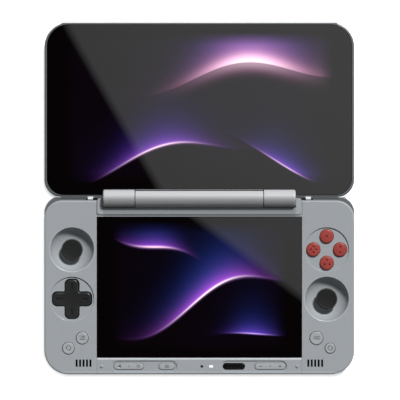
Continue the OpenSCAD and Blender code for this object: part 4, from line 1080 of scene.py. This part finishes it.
@dataclass
class PressKey:
    """A round or long key on its flange, with a domed or hollow top and a mark cut into it.

    With s = 1 - d / r, where d is how far a point lies inside the wall and r is half the key's depth,
    the top lies dome s^2 + hollow (1 - s^2) under its peak. The round edge takes off edge (1 - sin a)
    where d is edge (1 - cos a), and the mark takes off its own depth.
    """

    edge: float = 0.4
    dome: float = 0.0
    hollow: float = 0.0
    depth: float = 0.14
    flange: float = 0.7
    flange_t: float = 0.9
    stem: float = 0.0
    stem_r: float = 2.0
    edge_steps: int = 7
    rings: int = 34
    last_row: float = 0.985

    def top_rows(self, outline: Outline, peak: float, mark: Height) -> tuple[np.ndarray, np.ndarray]:
        """Rows of the edge and the top, and the mark's value at each point.

        Args:
            outline: the key's outline.
            peak: height of the top's highest point.
            mark: 1 where the key is engraved, as a function of x and y from the key's middle.

        Returns:
            The rows, and the ink.
        """
        lowest, highest = outline.points.min(axis=0), outline.points.max(axis=0)
        centre, reach = (lowest + highest) / 2, (highest - lowest).min() / 2
        angle = np.linspace(0, math.pi / 2, self.edge_steps)
        inward = np.linspace(self.edge, reach * self.last_row, self.rings)[1:]
        inset = np.concatenate([self.edge * (1 - np.cos(angle)), inward])
        drop = np.concatenate([self.edge * (1 - np.sin(angle)), np.zeros(len(inward))])
        flat = outline.points - outline.normals * inset[:, None, None]
        ink = mark(flat[..., 0] - centre[0], flat[..., 1] - centre[1])
        share = (1 - inset / reach) ** 2
        height = (peak - self.dome * share - self.hollow * (1 - share) - drop)[:, None] - self.depth * ink
        return np.concatenate([flat, height[..., None]], axis=2), ink

    def build(self, node: str, name: str, outline: Outline, finish: Finish, wardrobe: Wardrobe,
              mark: Height) -> None:
        """Builds the key over its node.

        Args:
            node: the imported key.
            name: the new piece's name.
            outline: the key's outline.
            finish: its finish.
            wardrobe: where finishes are kept.
            mark: 1 where the key is engraved, as a function of x and y from the key's middle.
        """
        low, high = extent(node)
        base = low[2] + self.stem
        sill = base + self.flange_t
        reach = (outline.points.max(axis=0) - outline.points.min(axis=0)).min() / 2
        foot = [(-self.flange, base), (-self.flange, sill), (0.0, sill)]
        if self.stem:
            foot = [(reach - self.stem_r, low[2]), (reach - self.stem_r, base)] + foot
        below = np.stack([outline.row(inset, z) for inset, z in foot])
        top, ink = self.top_rows(outline, high[2], mark)
        # Painted shade: the flange and the stem are inked dark where the finish has ink, so the gap round the
        # key looks dark.
        ink = np.concatenate([np.ones(below.shape[:2]), ink])
        piece = loft(name, np.concatenate([below, top]), crease=60.0, ink=ink)
        wardrobe.dress(piece, finish)
        stand_for(piece, node)


@dataclass
class Controls:
    """Thumbsticks, direction pad, face buttons, small round buttons and the front bar's keys."""

    pip: float = 0.58
    pip_ring: float = 1.65
    flange: float = 0.7
    bar_flange: float = 0.55
    face_stem: float = 1.0
    key_stem: float = 1.2
    slack: float = 0.08
    bar_slack: float = 0.001
    sign_step: float = 0.95
    sign_bar: tuple[float, float] = (1.5, 0.22)
    sign_ring: float = 1.25
    sign_line: float = 0.42
    frame_out: tuple[float, float] = (0.75, 0.95)
    frame_in: tuple[float, float] = (0.4, 0.6)
    tick: tuple[float, float] = (0.16, 0.8)
    arrow_at: float = 5.4
    volume_at: float = 5.6
    minus: tuple[float, float] = (0.9, 0.2)
    menu_step: float = 0.68
    menu_bar: tuple[float, float] = (1.2, 0.17)

    def pips(self, count: int) -> Height:
        """Mark of a few dimples set in a ring, one of them in the middle if it is alone."""

        def mark(x: np.ndarray, y: np.ndarray) -> np.ndarray:
            """The deepest of the dimples at a point."""
            reach = 0.0 if count == 1 else self.pip_ring
            angles = [math.pi / 2 + 2 * math.pi * i / count for i in range(count)]
            dots = [disc_mark(x, y, (reach * math.cos(a), reach * math.sin(a)), self.pip) for a in angles]
            return np.maximum.reduce(dots)

        return mark

    def face_buttons(self, wardrobe: Wardrobe) -> None:
        """Four domed red buttons."""
        for count, side in enumerate(("top", "right", "bottom", "left"), start=1):
            node = "face_button_" + side
            low, high = extent(node)
            radius = (high[0] - low[0]) / 2 - self.flange
            outline = Outline.circle((low + high)[:2] / 2, radius, 132)
            key = PressKey(edge=0.6, dome=0.28, depth=0.18, stem=self.face_stem, rings=44)
            key.build(node, "domed_" + node, outline, Skin.RED.value, wardrobe, self.pips(count))

    def round_buttons(self, wardrobe: Wardrobe) -> None:
        """Four small grey buttons with a plain sign each."""

        def bars(x: np.ndarray, y: np.ndarray) -> np.ndarray:
            """Three bars."""
            rows = (-self.sign_step, 0, self.sign_step)
            return np.maximum.reduce([bar_mark(x, y, (0, row), self.sign_bar) for row in rows])

        def ring(x: np.ndarray, y: np.ndarray) -> np.ndarray:
            """A ring."""
            return ring_mark(x, y, (0, 0), self.sign_ring, self.sign_line)

        def pair(x: np.ndarray, y: np.ndarray) -> np.ndarray:
            """Two frames side by side."""
            spots = ((-self.sign_step, 0), (self.sign_step, 0))
            return np.maximum.reduce([bar_mark(x, y, at, self.frame_out) - bar_mark(x, y, at, self.frame_in)
                                      for at in spots])

        signs = {"left_round_button_upper": bars, "left_round_button_lower": ring,
                 "right_round_button_upper": pair, "right_round_button_lower": ring}
        for node, sign in signs.items():
            low, high = extent(node)
            radius = (high[0] - low[0]) / 2 - self.flange
            outline = Outline.circle((low + high)[:2] / 2, radius - self.slack, 120)
            key = PressKey(edge=0.6, hollow=0.14, depth=0.2, stem=self.key_stem, rings=34)
            key.build(node, "marked_" + node, outline, Skin.KEY.value, wardrobe, sign)

    def bar_keys(self, wardrobe: Wardrobe) -> None:
        """Four long keys on the front bar; the black one is bare."""

        def rocker(x: np.ndarray, y: np.ndarray) -> np.ndarray:
            """A wedge at one end, a tick in the middle and a ring at the other end."""
            wedge = wedge_mark(x, y, (-self.arrow_at, 0), 1.5, -1)
            ring = ring_mark(x, y, (self.arrow_at, 0), 0.7, 0.36)
            return np.maximum.reduce([wedge, ring, bar_mark(x, y, (0, 0), self.tick)])

        def menu(x: np.ndarray, y: np.ndarray) -> np.ndarray:
            """Three short bars."""
            rows = (-self.menu_step, 0, self.menu_step)
            return np.maximum.reduce([bar_mark(x, y, (0, row), self.menu_bar) for row in rows])

        def volume(x: np.ndarray, y: np.ndarray) -> np.ndarray:
            """Minus at one end, a tick in the middle and plus at the other end."""
            left, right = (-self.volume_at, 0), (self.volume_at, 0)
            lines = ((left, self.minus), ((0, 0), self.tick), (right, self.minus), (right, self.minus[::-1]))
            return np.maximum.reduce([bar_mark(x, y, at, half) for at, half in lines])

        def bare(x: np.ndarray, y: np.ndarray) -> np.ndarray:
            """Nothing."""
            return np.zeros_like(x)

        keys = {"back_home_rocker": (rocker, Skin.KEY), "menu_button": (menu, Skin.KEY),
                "power_button": (bare, Skin.SENSOR), "volume_rocker": (volume, Skin.KEY)}
        for node, (sign, skin) in keys.items():
            low, high = extent(node)
            low, high = low + self.bar_flange, high - self.bar_flange
            radius = (high[1] - low[1]) / 2 - self.bar_slack
            outline = Outline.box(low[:2], high[:2], radius, run=0.13)
            key = PressKey(edge=0.45, dome=0.06, depth=0.16, flange=self.bar_flange, flange_t=0.8,
                           stem=self.key_stem, stem_r=1.0, rings=30)
            key.build(node, "marked_" + node, outline, skin.value, wardrobe, sign)

    def build(self, wardrobe: Wardrobe) -> None:
        """Builds every control."""
        for side in ("left", "right"):
            ThumbCap().build(side + "_stick_cap", wardrobe)
        DirectionPad().build("dpad", wardrobe)
        self.face_buttons(wardrobe)
        self.round_buttons(wardrobe)
        self.bar_keys(wardrobe)


@dataclass
class Lips:
    """Round lips of the bowls and dishes, and the soft domes that keep the closed lid off the face."""

    bowl_r: float = 12.62
    bowl_lip: float = 0.6
    dish_r: float = 12.74
    dish_lip: float = 0.26
    proud: float = 0.012
    section_points: int = 24
    ring_points: int = 240
    dome_rise: float = 0.7
    dome_drop: float = 0.35
    dome_power: float = 0.6
    dome_end: float = 0.97

    def ring(self, name: str, centre: np.ndarray, radius: float, lip: float, skin: Skin,
             wardrobe: Wardrobe) -> None:
        """A ring whose section is a circle that touches the face and the wall of the hollow.

        Args:
            name: the piece's name.
            centre: the hollow's middle, x and y.
            radius: the hollow's radius.
            lip: radius of the section.
            skin: the ring's finish.
            wardrobe: where finishes are kept.
        """
        turn = np.linspace(0, 2 * math.pi, self.section_points, endpoint=False)
        face = extent("front_bar")[1][2]
        height = face + self.proud - lip * (1 - np.sin(turn))
        profile = np.column_stack([radius + lip * (1 + np.cos(turn)), height])
        piece = loft(name, turned(profile, centre, self.ring_points), crease=80.0, closed=True)
        wardrobe.dress(piece, skin.value)
        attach(piece, "base")

    def domes(self, wardrobe: Wardrobe) -> None:
        """Two domes, at height wall + dome_rise (1 - (r / R)^2)^dome_power, on short walls."""
        node = "lid_bumpers"
        low, high = extent(node)
        radius = (high[1] - low[1]) / 2
        share = np.linspace(0, 1, 14)[1:]
        wall = high[2] - self.dome_drop - self.dome_rise
        reach = np.cos(share * math.pi / 2 * self.dome_end)
        dome = np.column_stack([radius * reach, wall + self.dome_rise * (1 - reach**2) ** self.dome_power])
        profile = np.concatenate([[(radius, low[2]), (radius, wall)], dome])
        middle = (low[1] + high[1]) / 2
        domes = [turned(profile, (x, middle), 60) for x in (low[0] + radius, high[0] - radius)]
        piece = loft("soft_bumpers", domes, crease=40.0)
        wardrobe.dress(piece, Skin.BUMPER.value)
        stand_for(piece, node)

    def build(self, wardrobe: Wardrobe) -> None:
        """Builds the four rings and the two domes."""
        for side in ("left", "right"):
            low, high = extent(side + "_stick_cap")
            centre = (low + high)[:2] / 2
            self.ring("lip_bowl_" + side, centre, self.bowl_r, self.bowl_lip, Skin.BOWL_RIM_HIGHLIGHT, wardrobe)
        low, high = extent("dpad")
        self.ring("lip_dish_left", (low + high)[:2] / 2, self.dish_r, self.dish_lip, Skin.RIM, wardrobe)
        sides = ("top", "right", "bottom", "left")
        spots = np.array([sum(extent("face_button_" + side)) / 2 for side in sides])
        self.ring("lip_dish_right", spots[:, :2].mean(axis=0), self.dish_r, self.dish_lip, Skin.RIM, wardrobe)
        self.domes(wardrobe)


# Casings and what they hold


@dataclass
class Casings:
    """The shells, the bar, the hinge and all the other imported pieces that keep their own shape."""

    finishes: dict[Skin, tuple[str, ...]] = field(default_factory=lambda: {
        Skin.SHELL: ("base_top_shell", "base_bottom_shell", "front_bar"),
        Skin.LID: ("lid_back_shell",),
        Skin.BARREL: ("hinge_centre_barrel",),
        Skin.KNUCKLE: ("hinge_knuckle_left", "hinge_knuckle_right"),
        Skin.SLATE: ("lid_front_frame", "rear_vent_cover", "left_shoulder_button", "right_shoulder_button",
                     "left_trigger", "right_trigger"),
        Skin.BLACK_RUBBER: ("rubber_feet", "button_membranes"),
        Skin.DOME: ("left_stick_shaft", "right_stick_shaft"),
        Skin.SPEAKER: ("speakers",),
        Skin.MOULDED: ("fan_housing", "fan_rotor", "audio_jack"),
        Skin.STEEL: ("display_midframe", "base_screws", "card_slot", "usb_c_port", "hinge_shafts",
                     "shoulder_pins", "hinge_brackets", "lid_screws", "dpad_pivot"),
        Skin.BLACKENED: ("stick_housings", "left_stick_yoke", "right_stick_yoke"),
        Skin.COPPER: ("heat_sink",),
        Skin.BOARD: ("mainboard", "button_boards"),
        Skin.FOIL: ("battery_pack",),
        Skin.FILM: ("display_flex_lower", "display_flex_upper"),
        Skin.LIGHT: ("status_light",),
    })

    def dress(self, wardrobe: Wardrobe) -> None:
        """Puts each finish on its nodes."""
        for skin, nodes in self.finishes.items():
            for node in nodes:
                wardrobe.dress_node(node, skin.value)
                log.info("%s has the finish %s", node, skin.value.name)


# Studio


@dataclass
class Studio:
    """Camera, lamps, floor and the dark card that the glasses mirror."""

    view_height: float = 1500.0
    view_middle: tuple[float, float] = (0.36, -1.00)
    view_width: float = 231.7
    sensor: float = 36.0
    sun_toward: tuple[float, float] = (0.45, 0.89)
    sun_rise: float = 45.0
    sun_power: float = 3.74
    sun_size: float = 10.0
    ambient: float = 0.145
    card_height: float = 3000.0
    card_soft: float = 2.6
    card_reach: float = 110.0
    card_far: tuple[float, float] = (-260.0, -208.0)
    card_veil: float = 0.20
    veil_toward: tuple[float, float] = (0.8, 0.6)
    card_edge: tuple[tuple[float, float], ...] = (
        (-85.6, 115.1), (-78.0, 101.7), (-22.8, 4.7), (-13.5, -2.8), (-3.6, -10.4), (59.1, -57.5),
        (81.8, -74.3))
    floor_half: float = 3000.0
    floor_shift: float = 1000.0
    floor_tone: float = 0.92
    floor_lift: float = 0.90
    under_glow: float = 0.42
    # Painted contact shadow on the floor: the lift at the outline and how fast it grows with the distance.
    shadow_paint_lift: float = 0.345
    shadow_paint_rise: float = 0.25
    contact_half: tuple[float, float] = (90.4, 51.3)
    contact_middle: tuple[float, float] = (0.8, 0.2)
    contact_corners: tuple[float, float] = (10.0, 14.0)
    # Painted shade in the slit between lid and base: the floor's lift there.
    slit_shade_lift: float = 0.09
    slit_low: float = -2.2
    slit_high: float = 1.6
    notch_low: float = -0.55
    slit_from: float = 65.4
    slit_to: float = 82.0
    slit_inner: float = 61.9

    def camera(self, face: float) -> None:
        """Looks straight down on the console's face.

        Args:
            face: height of the face.
        """
        data = bpy.data.cameras.new("camera")
        data.sensor_width = self.sensor
        data.lens = self.sensor * self.view_height / self.view_width
        data.clip_start, data.clip_end = 0.01, 20.0
        eye = placed("camera", data)
        eye.location = (self.view_middle[0] * MM, self.view_middle[1] * MM, (face + self.view_height) * MM)
        bpy.context.scene.camera = eye

    def sun(self) -> None:
        """Key light from the upper right, with fairly crisp shadows."""
        data = bpy.data.lights.new("key", "SUN")
        data.energy = self.sun_power
        data.angle = math.radians(self.sun_size)
        lamp = placed("key", data)
        heading = math.atan2(self.sun_toward[0], self.sun_toward[1])
        lamp.rotation_euler = (-math.radians(90 - self.sun_rise), 0.0, -heading)

    def sky(self) -> None:
        """White to the eye and in mirrors; softer where it lights the object."""
        world = bpy.data.worlds.new("sky")
        bpy.context.scene.world = world
        world.use_nodes = True
        tree = world.node_tree
        tree.nodes.clear()
        path = tree.nodes.new("ShaderNodeLightPath")
        seen = tree.nodes.new("ShaderNodeMath")
        seen.operation = "MAXIMUM"
        tree.links.new(path.outputs["Is Camera Ray"], seen.inputs[0])
        mirrored = tree.nodes.new("ShaderNodeMath")
        mirrored.operation = "MAXIMUM"
        tree.links.new(path.outputs["Is Glossy Ray"], mirrored.inputs[0])
        tree.links.new(path.outputs["Is Transmission Ray"], mirrored.inputs[1])
        tree.links.new(mirrored.outputs[0], seen.inputs[1])
        level = tree.nodes.new("ShaderNodeMapRange")
        level.inputs["To Min"].default_value = self.ambient
        level.inputs["To Max"].default_value = 1.0
        tree.links.new(seen.outputs[0], level.inputs["Value"])
        background = tree.nodes.new("ShaderNodeBackground")
        tree.links.new(level.outputs[0], background.inputs["Strength"])
        output = tree.nodes.new("ShaderNodeOutputWorld")
        tree.links.new(background.outputs[0], output.inputs["Surface"])

    def floor(self) -> None:
        """Pale floor that keeps the console's shadow and can be seen through from below.

        The eye sees it lifted towards white, less so near the lid's or the base's outline, which is a painted
        contact shadow, and hardly in the slit between them, which is painted shade. The distance to an
        outline is that to a rectangle with round corners: the length of what lies past its straight part,
        less the radius. Both rectangles are one, as Y is measured from the slit to either side, and the
        corners by the slit have the smaller radius. Where the console hides the floor, it lights the
        underside.
        """
        half = self.floor_half
        near, far = self.floor_shift - half, self.floor_shift + half
        corners = np.array([(-half, near, 0), (half, near, 0), (half, far, 0), (-half, far, 0)]) * MM
        mesh = bpy.data.meshes.new("floor")
        mesh.from_pydata(corners.tolist(), [], [(0, 1, 2, 3)])
        plane = placed("floor", mesh)
        graph = Graph("floor")
        graph.set(Base_Color=(self.floor_tone,) * 3 + (1.0,), Roughness=0.9, Specular_IOR_Level=0.0)
        x, y, _ = graph.axes()
        side = (x - self.contact_middle[0]).math("ABSOLUTE")
        rise = (y - self.contact_middle[1]).math("ABSOLUTE") - self.contact_half[1]
        near_r, far_r = self.contact_corners
        corner = (rise * 4.0).held() * (far_r - near_r) + near_r
        over_x = (side - self.contact_half[0] + corner).math("MAXIMUM", 0.0)
        over_y = (rise.math("ABSOLUTE") - self.contact_half[1] + corner).math("MAXIMUM", 0.0)
        away = (over_x * over_x + over_y * over_y).math("SQRT") - corner
        # Painted contact shadow: the lift is lowest at the outline and grows with the distance from it.
        beyond = (away * self.shadow_paint_rise + self.shadow_paint_lift).math("MINIMUM", self.floor_lift)
        x = x.math("ABSOLUTE")
        notch = x.between(self.slit_inner, self.slit_from, 5.0) * y.above(self.notch_low, 5.0)
        # Painted shade: the slit between lid and base is hardly lifted, except at the notches.
        slit = y.between(self.slit_low, self.slit_high, 4.0) * x.below(self.slit_to, 1.0) * (-notch + 1.0)
        level = beyond.math("MAXIMUM", away.below(0.0, 4.0) * self.floor_lift)
        level = level + slit * (-level + self.slit_shade_lift)
        seen = Wire(graph, graph.node("LightPath").outputs["Is Camera Ray"])
        under = away.below(0.0, 1.0) * self.under_glow * (-seen + 1.0)
        graph.set(Emission_Color=(1.0, 1.0, 1.0, 1.0), Emission_Strength=seen * level + under)
        facing = graph.node("NewGeometry")
        graph.blend(facing.outputs["Backfacing"], graph.shader, graph.node("BsdfTransparent"))
        mesh.materials.append(graph.material)

    def card(self, face: float) -> None:
        """Black card over the camera, seen only in mirrors, whose bent edge crosses both glasses.

        A glass point p is mirrored at p + (p - camera) height / view height, so the edge is drawn
        as it shows on the face and moved out by that rule. Its border fades through an attribute,
        and a thin veil reaches beyond it, so the mirrored grey grows lighter away from the edge.

        Args:
            face: height of the face.
        """
        edge = np.array(self.card_edge)
        along = np.gradient(edge, axis=0)
        along /= np.linalg.norm(along, axis=1)[:, None]
        across = np.stack([-along[:, 1], along[:, 0]], axis=1)
        rows = np.stack([edge + np.array(self.veil_toward) * self.card_reach, edge + across * self.card_soft,
                         edge - across * self.card_soft, edge + np.array(self.card_far)])
        eye = np.array(self.view_middle)
        flat = rows + (rows - eye) * (self.card_height / self.view_height)
        points = np.concatenate([flat, np.full(flat.shape[:2] + (1,), face + self.card_height)], axis=2)
        count = len(edge)
        start = (np.arange(len(rows) - 1)[:, None] * count + np.arange(count - 1)).ravel()
        quads = np.stack([start, start + 1, start + count + 1, start + count], axis=1)
        mesh = bpy.data.meshes.new("card")
        mesh.from_pydata((points.reshape(-1, 3) * MM).tolist(), [], quads.tolist())
        fade = mesh.attributes.new("fade", "FLOAT", "POINT")
        fade.data.foreach_set("value", np.repeat([0.0, self.card_veil, 1.0, 1.0], count))
        piece = placed("card", mesh)
        piece.visible_camera = piece.visible_diffuse = piece.visible_shadow = False
        piece.visible_transmission = piece.visible_volume_scatter = False
        graph = Graph("card")
        value = graph.node("Attribute")
        value.attribute_name = "fade"
        graph.blend(value.outputs["Fac"], graph.node("BsdfTransparent"), graph.node("Emission", Strength=0.0))
        mesh.materials.append(graph.material)

    def build(self) -> None:
        """Sets up the whole studio."""
        face = extent("lower_screen_glass")[1][2]
        bpy.context.scene.view_settings.view_transform = "Standard"
        self.camera(face)
        self.sun()
        self.sky()
        self.floor()
        self.card(face)


def main() -> None:
    """Builds the studio and the console."""
    logging.basicConfig(level=logging.INFO, format="%(name)s: %(message)s")
    wardrobe = Wardrobe()
    Studio().build()
    Casings().dress(wardrobe)
    LowerScreen().build("lower_screen_glass", wardrobe, "lower_display_panel", "lower_lit_glass")
    UpperScreen().build("upper_screen_glass", wardrobe, "upper_display_panel", "upper_lit_glass")
    Controls().build(wardrobe)
    Lips().build(wardrobe)
    bpy.context.view_layer.update()


if __name__ == "__main__":
    main()
